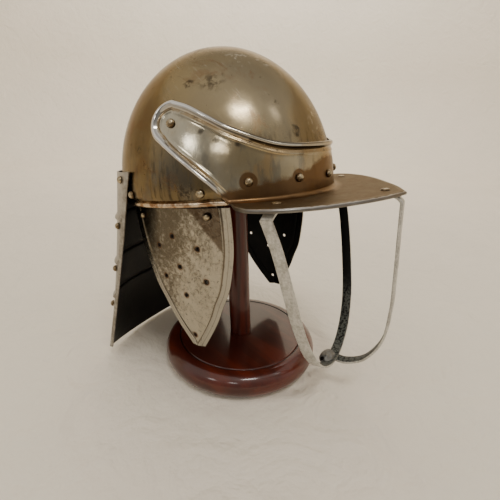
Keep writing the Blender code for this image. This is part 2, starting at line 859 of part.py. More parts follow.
def strap_sections(angle, along):
    """(centre, across, out) of each section of a right strap, from inside the skull to the cheek."""
    across_top = Vector((math.cos(angle), -math.sin(angle), 0.0)) * -1
    out_top = skull_normal(angle, 0.0)
    seat = skull_place(angle, 0.0, strap_seat_lift())
    foot = cheek_place(cheek_rivet_share(), along, -SHEET - GAP - FACET_ALLOWANCE - LEATHER / 2)
    out_foot = Vector((-1.0, 2 * CHEEK_DISH * along / (CHEEK_WIDTH / 2) ** 2, 0.0)).normalized()
    across_foot = Vector((-out_foot.y, out_foot.x, 0.0)) * -1
    over = -CHEEK_TOP_LEVEL + 2 * GAP + LEATHER
    knee = Vector((foot.x, foot.y, over))
    bend_out = (out_top + out_foot + Vector((0.0, 0.0, 1.0))).normalized()
    return [
        (seat + Vector((0.0, 0.0, STRAP_TOP_LEVEL)), across_top, out_top),
        (Vector((seat.x, seat.y, -RIM_ROLL_HEIGHT)), across_top, out_top),
        (knee.lerp(Vector((seat.x, seat.y, over)), STRAP_KNEE), (across_top + across_foot) / 2, bend_out),
        (knee + Vector((0.0, 0.0, -LEATHER)), across_foot, out_foot),
        (foot + Vector((0.0, 0.0, -STRAP_TAIL)), across_foot, out_foot),
    ]


def make_strap(side, place, angle, along, leather, parent):
    """A plain leather strap riveted inside the skull and inside the cheekpiece."""
    rows = []
    for centre, across, out in strap_sections(angle, along):
        wide = across.normalized() * STRAP_WIDTH / 2
        thick = out * LEATHER / 2
        rows.append(
            [centre + wide + thick, centre - wide + thick, centre - wide - thick, centre + wide - thick]
        )
    bm = lattice(rows, closed=True)
    close_solid(bm)
    if side == "left":
        mirrored(bm)
    return add_object(f"strap_{side}_{place}", bm, leather, parent)


# Face guard


def sweep(path, wide_dirs, width, thickness):
    """A flat bar along a path; wide_dirs holds the way across the bar at each point."""
    rows = []
    for i, (point, wide) in enumerate(zip(path, wide_dirs)):
        ahead = path[min(i + 1, len(path) - 1)] - path[max(i - 1, 0)]
        thick = ahead.cross(wide).normalized() * thickness / 2
        half = wide.normalized() * width / 2
        rows.append([point + half + thick, point - half + thick, point - half - thick, point + half - thick])
    bm = lattice(rows, closed=True)
    close_solid(bm)
    return bm


def bar_under_brim(x, y):
    """The level of a flange's middle, just under the brim."""
    return brim_height(x, y) - SHEET / math.cos(BRIM_DROP) - 2 * GAP - BAR_THICKNESS / 2


def side_bar_path():
    """The right half of the side bar, from its flange under the brim to the chin."""
    spread = SIDE_BAR_SPREAD / 2
    seat = BRIM_RIVET_SPREAD / 2
    inner, outer = SIDE_FLANGE_SHARES
    ends = (-seat + BAR_FLANGE * inner, -seat - BAR_FLANGE * outer)
    y = -BRIM_RIVET_FORWARD
    flange = [Vector((x, y, bar_under_brim(x, y))) for x in ends]
    bar = []
    for k in range(SIDE_BAR_STEPS + 1):
        out, forward, down = smooth_through(SIDE_BAR, k / SIDE_BAR_STEPS)
        y = -SIDE_BAR_FORWARD - forward * (CHIN_FORWARD - SIDE_BAR_FORWARD)
        z = -SIDE_BAR_BEND - down * (CHIN_LEVEL - SIDE_BAR_BEND)
        bar.append(Vector((-out * spread, y, z)))
    return flange + bar


def centre_bar_path():
    y = -BRIM_TIP + BRIM_TIP_RIVET_BACK
    behind, ahead = CENTRE_FLANGE_SHARES
    ends = (y + BAR_FLANGE * behind, y - BAR_FLANGE * ahead)
    flange = [Vector((0.0, end, bar_under_brim(0.0, end))) for end in ends]
    bar = []
    for k in range(CENTRE_BAR_STEPS + 1):
        forward, down = smooth_through(CENTRE_BAR, k / CENTRE_BAR_STEPS)
        y = -CHIN_FORWARD - forward * (CENTRE_BAR_FORWARD - CHIN_FORWARD)
        z = -CENTRE_BAR_BEND - down * (CHIN_LEVEL - CENTRE_BAR_BEND)
        bar.append(Vector((0.0, y, z)))
    return flange + bar


def make_face_guard(steel, parent):
    """Three flat bars welded at the chin: one bent right round from side to side, one in front."""
    half = side_bar_path()
    path = half + [Vector((-p.x, p.y, p.z)) for p in reversed(half[:-1])]
    fore_and_aft = Vector((0.0, 1.0, 0.0))
    guard = add_object(
        "face_guard",
        sweep(path, [fore_and_aft] * len(path), BAR_WIDTH, BAR_THICKNESS),
        steel,
        parent,
    )
    front = centre_bar_path()
    sideways = Vector((1.0, 0.0, 0.0))
    centre_bm = sweep(front, [sideways] * len(front), BAR_WIDTH, BAR_THICKNESS)
    centre = as_helper(add_object("centre_bar_join", centre_bm, None, parent))
    lump_bm = bmesh.new()
    bmesh.ops.create_icosphere(lump_bm, subdivisions=1, radius=0.5)
    bmesh.ops.scale(lump_bm, vec=WELD_LUMP, verts=lump_bm.verts)
    lump = as_helper(add_object("weld_lump_join", lump_bm, None, parent))
    lump.location = Vector((0.0, -CHIN_FORWARD, -CHIN_LEVEL)) + Vector(WELD_LUMP_OFFSET)
    add_boolean(guard, centre, "UNION")
    add_boolean(guard, lump, "UNION")
    return guard


# Rivets


def rivet_profile(head, rise, grip):
    """A domed head over the plates, the shank through them and the upset tail behind."""
    shank, tail = SHANK_DIAMETER / 2, TAIL_DIAMETER / 2
    low = -grip - TAIL_CLEARANCE
    shoulder, shoulder_rise = RIVET_SHOULDER
    return [
        (0.0, low - TAIL_HEIGHT),
        (tail, low - TAIL_HEIGHT),
        (tail, low),
        (shank, low),
        (shank, GAP),
        (head / 2, GAP),
        (head / 2 * shoulder, GAP + rise * shoulder_rise),
        (0.0, GAP + rise),
    ]


def seat_matrix(point, normal):
    """The frame of a rivet: its origin on the plate's outside and its Z along the normal."""
    return Matrix.Translation(point) @ normal.to_track_quat("Z", "Y").to_matrix().to_4x4()


class Drilling:
    """Collects the rivets and holes, and cuts every plate that they go through."""

    def __init__(self, material, parent):
        self.material = material
        self.parent = parent
        self.cuts = {}

    def hole(self, seat, diameter, depth, plates, sides=RIVET_SIDES):
        for plate in plates:
            self.cuts.setdefault(plate, []).append((seat, diameter, depth, sides))

    def rivet(self, name, seat, grip, plates, head=RIVET_HEAD_DIAMETER, rise=RIVET_HEAD_HEIGHT):
        bm = turned(rivet_profile(head, rise, grip), RIVET_SIDES)
        rivet = add_object(name, bm, self.material, self.parent)
        rivet.matrix_local = seat
        self.hole(seat, SHANK_DIAMETER + 2 * GAP, grip, plates)

    def cut_all(self):
        for plate, holes in self.cuts.items():
            bm = bmesh.new()
            for seat, diameter, depth, sides in holes:
                length = depth + 2 * DRILL_OVERRUN
                middle = seat @ Matrix.Translation((0.0, 0.0, -depth / 2))
                bmesh.ops.create_cone(
                    bm,
                    cap_ends=True,
                    segments=sides,
                    radius1=diameter / 2,
                    radius2=diameter / 2,
                    depth=length,
                    matrix=middle,
                )
            drill = as_helper(add_object(f"drill_{plate.name}", bm, None, self.parent))
            add_boolean(plate, drill, "DIFFERENCE")


def flip_seat(seat):
    """The same seat on the wearer's left."""
    point = seat.translation
    normal = seat.to_3x3() @ Vector((0.0, 0.0, 1.0))
    return seat_matrix(Vector((-point.x, point.y, point.z)), Vector((-normal.x, normal.y, normal.z)))


def both_sides(seat):
    return (("right", seat), ("left", flip_seat(seat)))


def rivet_brow(drilling, skull, peak):
    """Five rivets across the brow hold the peak to the skull."""
    grip = BAND_LIFT + SHEET
    for k, side in ((0, "centre"), (1, "right_1"), (2, "right_2"), (1, "left_1"), (2, "left_2")):
        height = BROW_RIVET_HEIGHT + k * BROW_RIVET_RISE
        angle = k * BROW_RIVET_STEP
        seat = seat_matrix(skull_place(angle, height, BAND_LIFT), skull_normal(angle, height))
        if side.startswith("left"):
            seat = flip_seat(seat)
        drilling.rivet(f"rivet_brow_{side}", seat, grip, (skull, peak))


def rivet_arms(drilling, skull, peak):
    angle, height = ARM_RIVET_ANGLE, ARM_RIVET_HEIGHT
    seat = seat_matrix(skull_place(angle, height, BAND_LIFT), skull_normal(angle, height))
    for side, place in both_sides(seat):
        drilling.rivet(f"rivet_arm_{side}", place, BAND_LIFT + SHEET, (skull, peak))


def rivet_brim(drilling, peak, guard):
    """Three flattish rivets hold the face guard's flanges under the brim."""
    up = Vector((0.0, -math.sin(BRIM_DROP), math.cos(BRIM_DROP)))
    grip = SHEET + 2 * GAP + BAR_THICKNESS
    side = Vector((-BRIM_RIVET_SPREAD / 2, -BRIM_RIVET_FORWARD, 0.0))
    tip = Vector((0.0, -BRIM_TIP + BRIM_TIP_RIVET_BACK, 0.0))
    side.z, tip.z = brim_height(side.x, side.y), brim_height(tip.x, tip.y)
    seats = both_sides(seat_matrix(side, up)) + (("tip", seat_matrix(tip, up)),)
    for place, seat in seats:
        drilling.rivet(
            f"rivet_brim_{place}", seat, grip, (peak, guard), BRIM_RIVET_DIAMETER, BRIM_RIVET_HEIGHT
        )


def rivet_neck_guard(drilling, skull, guard):
    """A rivet at each lame's side; the top pair and one at the back hold the guard to the skull."""
    for k, down in enumerate(GUARD_RIVETS):
        half = guard_frame(down)[0]
        around = -(1 - GUARD_RIVET_INSET / (half * GUARD_WRAP))
        seat = seat_matrix(guard_point(around, down), guard_normal(around, down))
        grip, plates = SHEET, (guard,)
        if k == 0:
            reach = seat.translation
            ring = math.hypot(2 * reach.x / SKULL_WIDTH, 2 * reach.y / SKULL_LENGTH)
            grip = reach.xy.length * (1 - 1 / ring) + 2 * SHEET + FACET_ALLOWANCE
            plates = (guard, skull)
        for side, place in both_sides(seat):
            drilling.rivet(
                f"rivet_neck_{side}_{k + 1}",
                place,
                grip,
                plates,
                GUARD_RIVET_DIAMETER,
                GUARD_RIVET_HEIGHT,
            )
    back = guard_point(0.0, GUARD_RIVETS[0])
    grip = back.y - SKULL_LENGTH / 2 + 2 * SHEET
    seat = seat_matrix(back, guard_normal(0.0, GUARD_RIVETS[0]))
    drilling.rivet("rivet_neck_back", seat, grip, (guard, skull))


def rivet_cheek(drilling, side, skull, cheek, straps):
    """Each strap has one rivet through the skull's wall and one through the cheekpiece."""
    for (place, angle, along), strap in zip(cheek_rivet_spots(), straps):
        top = seat_matrix(skull_place(angle, 0.0), skull_normal(angle, 0.0))
        low = seat_matrix(
            cheek_place(cheek_rivet_share(), along, CHEEK_FIELD_RISE),
            Vector((-1.0, 0.0, 0.0)),
        )
        if side == "left":
            top, low = flip_seat(top), flip_seat(low)
        grip = LEATHER / 2 - strap_seat_lift()
        drilling.rivet(f"rivet_rim_{side}_{place}", top, grip, (skull, strap))
        grip = SHEET + LEATHER + CHEEK_FIELD_RISE + 4 * GAP
        drilling.rivet(f"rivet_cheek_{side}_{place}", low, grip, (cheek, strap))


def pierce_cheek(drilling, side, cheek):
    for down, back in BREATH_HOLES:
        seat = seat_matrix(cheek_place(down, back * CHEEK_WIDTH / 2), Vector((-1.0, 0.0, 0.0)))
        if side == "left":
            seat = flip_seat(seat)
        drilling.hole(seat, BREATH_DIAMETER, SHEET, (cheek,), BREATH_SIDES)


def main():
    clear_scene()
    aged_steel = finish("aged_plated_steel", (0.42, 0.34, 0.20), 0.30, 1.0)
    bright_steel = finish("bright_plated_steel", (0.62, 0.59, 0.52), 0.24, 1.0)
    blackened = finish("blackened_steel", (0.12, 0.12, 0.12), 0.55, 0.6)
    grey_steel = finish("grey_bar_steel", (0.42, 0.42, 0.40), 0.50, 0.9)
    nickel = finish("rivet_nickel", (0.50, 0.44, 0.32), 0.28, 1.0)
    leather = finish("strap_leather", (0.07, 0.04, 0.025), 0.70, 0.0)
    wood = finish("varnished_wood", (0.17, 0.030, 0.015), 0.22, 0.0)

    make_stand(wood)
    helmet = bpy.data.objects.new("helmet_frame", None)
    bpy.context.scene.collection.objects.link(helmet)
    helmet.location = (0.0, SKULL_SET_BACK, SKULL_LEVEL)
    helmet.rotation_euler.x = -NOSE_UP

    skull = make_skull(aged_steel, helmet)
    peak = make_peak(bright_steel, helmet)
    guard = make_neck_guard(blackened, helmet)
    face_guard = make_face_guard(grey_steel, helmet)
    drilling = Drilling(nickel, helmet)
    rivet_brow(drilling, skull, peak)
    rivet_arms(drilling, skull, peak)
    rivet_brim(drilling, peak, face_guard)
    rivet_neck_guard(drilling, skull, guard)
    for side in ("right", "left"):
        cheek = make_cheekpiece(side, bright_steel, helmet)
        straps = [
            make_strap(side, place, angle, along, leather, helmet)
            for place, angle, along in cheek_rivet_spots()
        ]
        rivet_cheek(drilling, side, skull, cheek, straps)
        pierce_cheek(drilling, side, cheek)
    drilling.cut_all()


main()
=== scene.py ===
"""A lobster-tail pot helmet on its turned wooden stand, dressed for its picture.

The helmet's pieces are modelled in the helmet's own frame: the origin is the middle of the skull
at its widest level, -Y is the front, -X the wearer's right and +Z the crown. Each piece is then
placed in its mesh, tipped nose up on the stand. Lengths are in metres.
"""

import sys
import logging
import math
from collections.abc import Callable, Sequence
from dataclasses import dataclass, field
from enum import Enum

import bpy
from mathutils import Matrix, Vector, noise


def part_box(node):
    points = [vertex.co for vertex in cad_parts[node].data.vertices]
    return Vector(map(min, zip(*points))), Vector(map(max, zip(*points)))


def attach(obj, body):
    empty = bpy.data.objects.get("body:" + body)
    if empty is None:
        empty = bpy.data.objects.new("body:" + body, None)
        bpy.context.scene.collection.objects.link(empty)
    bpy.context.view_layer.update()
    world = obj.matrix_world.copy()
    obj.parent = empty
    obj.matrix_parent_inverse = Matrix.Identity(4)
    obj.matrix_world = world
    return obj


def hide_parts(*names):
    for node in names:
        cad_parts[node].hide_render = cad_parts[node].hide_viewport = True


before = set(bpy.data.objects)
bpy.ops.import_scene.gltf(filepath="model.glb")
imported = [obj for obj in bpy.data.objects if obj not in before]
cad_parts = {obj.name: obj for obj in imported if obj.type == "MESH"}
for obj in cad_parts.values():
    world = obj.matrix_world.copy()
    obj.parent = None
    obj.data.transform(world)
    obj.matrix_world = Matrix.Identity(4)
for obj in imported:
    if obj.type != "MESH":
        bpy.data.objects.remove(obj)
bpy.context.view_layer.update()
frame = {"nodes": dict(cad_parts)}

LOG = logging.getLogger("helmet")

Row = list[Vector]
Colour = tuple[float, float, float]
Table = Sequence[tuple[float, ...]]


class Side(Enum):
    """The wearer's two sides; the value is the sign of X there."""

    RIGHT = -1.0
    LEFT = 1.0


class Slot(Enum):
    """The record's material slots."""

    SKULL = "aged_plated_steel"
    BRIGHT = "bright_plated_steel"
    GUARD = "neck_guard_steel"
    BARS = "bar_steel"
    RIVETS = "rivet_metal"
    LEATHER = "strap_leather"
    WOOD = "stand_wood"


# Curves


def smooth_through(rows: Table, share: float) -> Vector:
    """Finds a point on a smooth curve through the rows of a table.

    Args:
        rows: the table's rows, each a point.
        share: how far along, from 0 at the first row to 1 at the last.

    Returns:
        The point.
    """
    place = min(max(share, 0.0), 1.0) * (len(rows) - 1)
    first = min(int(place), len(rows) - 2)
    t = place - first
    before, start, end, after = (
        Vector(rows[min(max(k, 0), len(rows) - 1)]) for k in range(first - 1, first + 3)
    )
    if first == 0:
        before = 2 * start - end
    if first == len(rows) - 2:
        after = 2 * end - start
    return 0.5 * (
        2 * start
        + (end - before) * t
        + (2 * before - 5 * start + 4 * end - after) * t * t
        + (3 * start - before - 3 * end + after) * t**3
    )


def height_at(rows: Table, share: float) -> float:
    """Reads a table's second column at a share in its first, along the same smooth curve.

    Args:
        rows: rows of two numbers, the first rising from 0 to 1.
        share: the wanted value of the first column.

    Returns:
        The second column there.
    """
    low, high = 0.0, 1.0
    for _ in range(32):
        middle = (low + high) / 2
        if smooth_through(rows, middle)[0] < share:
            low = middle
        else:
            high = middle
    return smooth_through(rows, low)[1]


def ease(value: float, low: float, high: float) -> float:
    """A smooth step from 0 at low to 1 at high."""
    t = min(max((value - low) / (high - low), 0.0), 1.0)
    return t * t * (3 - 2 * t)


def even(count: int, start: float = 0.0, end: float = 1.0) -> list[float]:
    """count steps from start to end, both ends included."""
    return [start + (end - start) * k / count for k in range(count + 1)]


# Modelling by hand


class Editing:
    """Edit mode on one object for the length of a with block."""

    def __init__(self, obj: bpy.types.Object, select: str = "SELECT") -> None:
        """Keeps the object and what to select on the way in.

        Args:
            obj: the mesh object to edit.
            select: SELECT or DESELECT, for all of its mesh.
        """
        self.obj, self.select = obj, select

    def __enter__(self) -> bpy.types.Object:
        """Selects only this object, opens it and selects all or none of it."""
        pick_only(self.obj)
        bpy.ops.object.mode_set(mode="EDIT")
        bpy.ops.mesh.select_mode(type="VERT")
        bpy.ops.mesh.select_all(action=self.select)
        return self.obj

    def __exit__(self, *_: object) -> None:
        """Goes back to object mode."""
        bpy.ops.object.mode_set(mode="OBJECT")


def pick_only(*objs: bpy.types.Object) -> None:
    """Selects these objects and nothing else; the first becomes active."""
    bpy.ops.object.select_all(action="DESELECT")
    for obj in objs:
        obj.select_set(True)
    bpy.context.view_layer.objects.active = objs[0] if objs else None


def select_where(obj: bpy.types.Object, wanted: Callable[[Vector], bool]) -> None:
    """Selects a mesh's vertices by their place, from inside edit mode.

    Args:
        obj: the object in edit mode.
        wanted: says of a vertex's place whether it is selected.
    """
    bpy.ops.mesh.select_all(action="DESELECT")
    bpy.ops.object.mode_set(mode="OBJECT")
    for vertex in obj.data.vertices:
        vertex.select = wanted(vertex.co)
    bpy.ops.object.mode_set(mode="EDIT")


def laid_sheet(name: str, rows: Sequence[Row], closed: bool = False) -> bpy.types.Object:
    """Lays a grid primitive over rows of points.

    Args:
        name: the object's name.
        rows: rows of points, all of one length.
        closed: joins each row's two ends.

    Returns:
        The sheet, not yet turned outwards.
    """
    full = [list(row) + ([row[0]] if closed else []) for row in rows]
    bpy.ops.object.select_all(action="DESELECT")
    bpy.ops.mesh.primitive_grid_add(
        x_subdivisions=len(full[0]) - 1, y_subdivisions=len(full) - 1, size=1.0
    )
    obj = bpy.context.object
    obj.name = obj.data.name = name
    obj.data.vertices.foreach_set("co", [c for row in full for point in row for c in point])
    while obj.data.uv_layers:
        obj.data.uv_layers.remove(obj.data.uv_layers[0])
    return obj


def mark(obj: bpy.types.Object, name: str, rows: Sequence[Sequence[float]]) -> None:
    """Writes one number for each point of a laid sheet, for its material to read.

    Args:
        obj: the sheet.
        name: the attribute's name.
        rows: the numbers, row by row as the sheet was laid.
    """
    layer = obj.data.attributes.new(name, "FLOAT", "POINT")
    layer.data.foreach_set("value", [value for row in rows for value in row])


def seal(obj: bpy.types.Object, cap: bool = False) -> None:
    """Merges a mesh's doubled points, fills its open ends if asked, and turns its faces outwards.

    Args:
        obj: the object.
        cap: fills open ends.
    """
    with Editing(obj):
        bpy.ops.mesh.remove_doubles(threshold=1e-6)
        bpy.ops.mesh.dissolve_degenerate(threshold=1e-7)
        if cap:
            bpy.ops.mesh.select_all(action="DESELECT")
            bpy.ops.mesh.select_non_manifold(
                extend=False, use_wire=False, use_boundary=True, use_multi_face=False,
                use_non_contiguous=False, use_verts=False,
            )
            bpy.ops.mesh.edge_face_add()
        bpy.ops.mesh.select_all(action="SELECT")
        bpy.ops.mesh.normals_make_consistent(inside=False)


def face_away_from(obj: bpy.types.Object, inside: Vector) -> None:
    """Turns an open sheet so that, on the whole, it looks away from a point.

    Args:
        obj: the sheet, its faces already consistent.
        inside: the point.
    """
    looking = sum(f.area * f.normal.dot(f.center - inside) for f in obj.data.polygons)
    if looking < 0:
        with Editing(obj):
            bpy.ops.mesh.flip_normals()


def apply(obj: bpy.types.Object, kind: str, **settings: object) -> None:
    """Adds a modifier, sets it and applies it.

    Args:
        obj: the object.
        kind: the modifier's type.
        settings: its properties by name.
    """
    modifier = obj.modifiers.new(kind.lower(), kind)
    for key, value in settings.items():
        setattr(modifier, key, value)
    pick_only(obj)
    bpy.ops.object.modifier_apply(modifier=modifier.name)


def give_wall(obj: bpy.types.Object, thickness: float, inner: int = 0, rim: int = 0) -> None:
    """Gives an open sheet its thickness, inwards.

    Args:
        obj: the sheet.
        thickness: the wall's thickness.
        inner: how many material slots further on the inner face's material is.
        rim: the same for the edge.
    """
    apply(
        obj, "SOLIDIFY", thickness=thickness, offset=-1.0, material_offset=inner,
        material_offset_rim=rim,
    )


def raised(name: str, profile: Table, sides: int) -> bpy.types.Object:
    """Raises a round blank ring by ring through a turned profile, as on a lathe.

    Args:
        name: the object's name.
        profile: rows of (radius, height), from the bottom's middle outwards and up.
        sides: how many sides the round has.

    Returns:
        A closed solid about Z.
    """
    bpy.ops.object.select_all(action="DESELECT")
    (radius, height), *others = profile
    bpy.ops.mesh.primitive_circle_add(
        vertices=sides, radius=radius, location=(0.0, 0.0, height), fill_type="NGON"
    )
    obj = bpy.context.object
    obj.name = obj.data.name = name
    bpy.ops.object.transform_apply(location=True, rotation=False, scale=False)
    with Editing(obj):
        for next_radius, next_height in others:
            bpy.ops.mesh.extrude_region_move(
                TRANSFORM_OT_translate={"value": (0.0, 0.0, next_height - height)}
            )
            grow = next_radius / radius
            bpy.ops.transform.resize(
                value=(grow, grow, 1.0), center_override=(0.0, 0.0, next_height)
            )
            radius, height = next_radius, next_height
        bpy.ops.mesh.select_all(action="SELECT")
        bpy.ops.mesh.remove_doubles(threshold=1e-7)
        bpy.ops.mesh.normals_make_consistent(inside=False)
    return obj


def shade(obj: bpy.types.Object, degrees: float = 38.0) -> None:
    """Shades a piece smooth apart from edges sharper than an angle."""
    pick_only(obj)
    bpy.ops.object.shade_smooth_by_angle(angle=math.radians(degrees))


def dress(obj: bpy.types.Object, *materials: bpy.types.Material) -> None:
    """Puts materials on an object's slots in order, over those that it has."""
    obj.data.materials.clear()
    for material in materials:
        obj.data.materials.append(material)


def deliver(obj: bpy.types.Object, slot: Slot, *nodes: str) -> None:
    """Rides a finished piece on the body, in place of its plain solids.

    Args:
        obj: the piece, its place in its mesh.
        slot: the record's slot for the piece's finish; not used.
        nodes: the solids that it stands for.
    """
    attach(obj, "root")
    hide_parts(*nodes)
    LOG.info("%s: %d faces for %s", obj.name, len(obj.data.polygons), ", ".join(nodes))


# Shared shapes


@dataclass(frozen=True)
class HelmetSeat:
    """How the helmet sits on the stand."""

    level: float = 0.2116
    set_back: float = 0.0209
    nose_up: float = math.radians(8.2)

    def matrix(self) -> Matrix:
        """The helmet's frame in the world."""
        place = Matrix.Translation((0.0, self.set_back, self.level))
        return place @ Matrix.Rotation(-self.nose_up, 4, "X")

    def place(self, obj: bpy.types.Object) -> None:
        """Moves a finished piece's mesh from the helmet's frame to the world."""
        obj.data.transform(self.matrix())
        obj.data.update()


@dataclass(frozen=True)
class SkullForm:
    """The skull's outside: half an egg over a short wall."""

    width: float = 0.2125
    length: float = 0.2170
    dome: float = 0.1250
    wall_depth: float = 0.0113
    pinch: float = 0.0032
    roll_height: float = 0.0048
    roll_proud: float = 0.0022
    sheet: float = 0.0014

    def ring(self, height: float) -> float:
        """The share of the widest ring that is left at a height above it."""
        return math.sqrt(max(0.0, 1.0 - (max(height, 0.0) / self.dome) ** 2))

    def normal(self, angle: float, height: float) -> Vector:
        """The way out of the surface."""
        share = self.ring(height)
        across = -math.sin(angle) * share * 2 / self.width
        along = -math.cos(angle) * share * 2 / self.length
        return Vector((across, along, max(height, 0.0) / self.dome**2)).normalized()

    def place(self, angle: float, height: float, lift: float = 0.0) -> Vector:
        """Finds a point over the skull.

        Args:
            angle: from the front towards the wearer's right.
            height: over the widest ring.
            lift: the distance out from the surface.

        Returns:
            The point in the helmet's frame.
        """
        share = self.ring(height)
        point = Vector(
            (
                -self.width / 2 * share * math.sin(angle),
                -self.length / 2 * share * math.cos(angle),
                height,
            )
        )
        return point + lift * self.normal(angle, height)


@dataclass(frozen=True)
class BrimForm:
    """The brim's surface and outline."""

    skull: SkullForm = field(default_factory=SkullForm)
    width: float = 0.2220
    reach: float = 0.0690
    level: float = 0.0122
    drop: float = math.radians(1.7)
    dish: float = 0.0028
    edge: float = 0.0034
    fillet: float = 0.0030
    corner_angle: float = math.radians(57.0)
    band_lift: float = 0.0019
    settles: float = 0.8
    # Rows: share of half the width, share of the way from the corner forward to the tip
    outline: Table = (
        (0.000, 1.000), (0.250, 0.913), (0.540, 0.762), (0.770, 0.610),
        (0.923, 0.456), (1.000, 0.300), (0.972, 0.170), (0.820, 0.000),
    )
    # Rows: share of the edge's thickness in from the outline, share of it down
    roll: Table = ((1.7, 0.0), (0.7, 0.05), (0.2, 0.25), (0.0, 0.62), (0.15, 1.0))

    def tip(self) -> float:
        """How far forward the brim's tip lies."""
        return self.skull.length / 2 + self.reach

    def height(self, x: float, y: float) -> float:
        """The level of the brim's top, which drops towards its tip and is dished across."""
        dished = self.dish * (2 * x / self.width) ** 2
        return dished - self.level - (-y - self.skull.length / 2) * math.tan(self.drop)

    def crease(self, angle: float) -> float:
        """The level at which the brim turns out of the brow band."""
        x, y, _ = self.skull.place(angle, 0.0, self.band_lift)
        return self.height(x, y)

    def outer(self, share: float) -> Vector:
        """A point of the right half's outline, from the tip at 0 to the corner at 1."""
        corner = self.skull.place(self.corner_angle, 0.0, self.band_lift)
        across, forward = smooth_through(self.outline, share)
        y = corner.y + forward * (-self.tip() - corner.y)
        last = self.outline[-1][0]
        x = across * self.width / 2
        if across >= last and share > self.settles:
            settle = (share - self.settles) / (1 - self.settles)
            x += settle**2 * (-corner.x - last * self.width / 2)
        return Vector((-x, y, self.height(x, y)))


SEAT = HelmetSeat()
SKULL = SkullForm()
BRIM = BrimForm()


# Node graphs


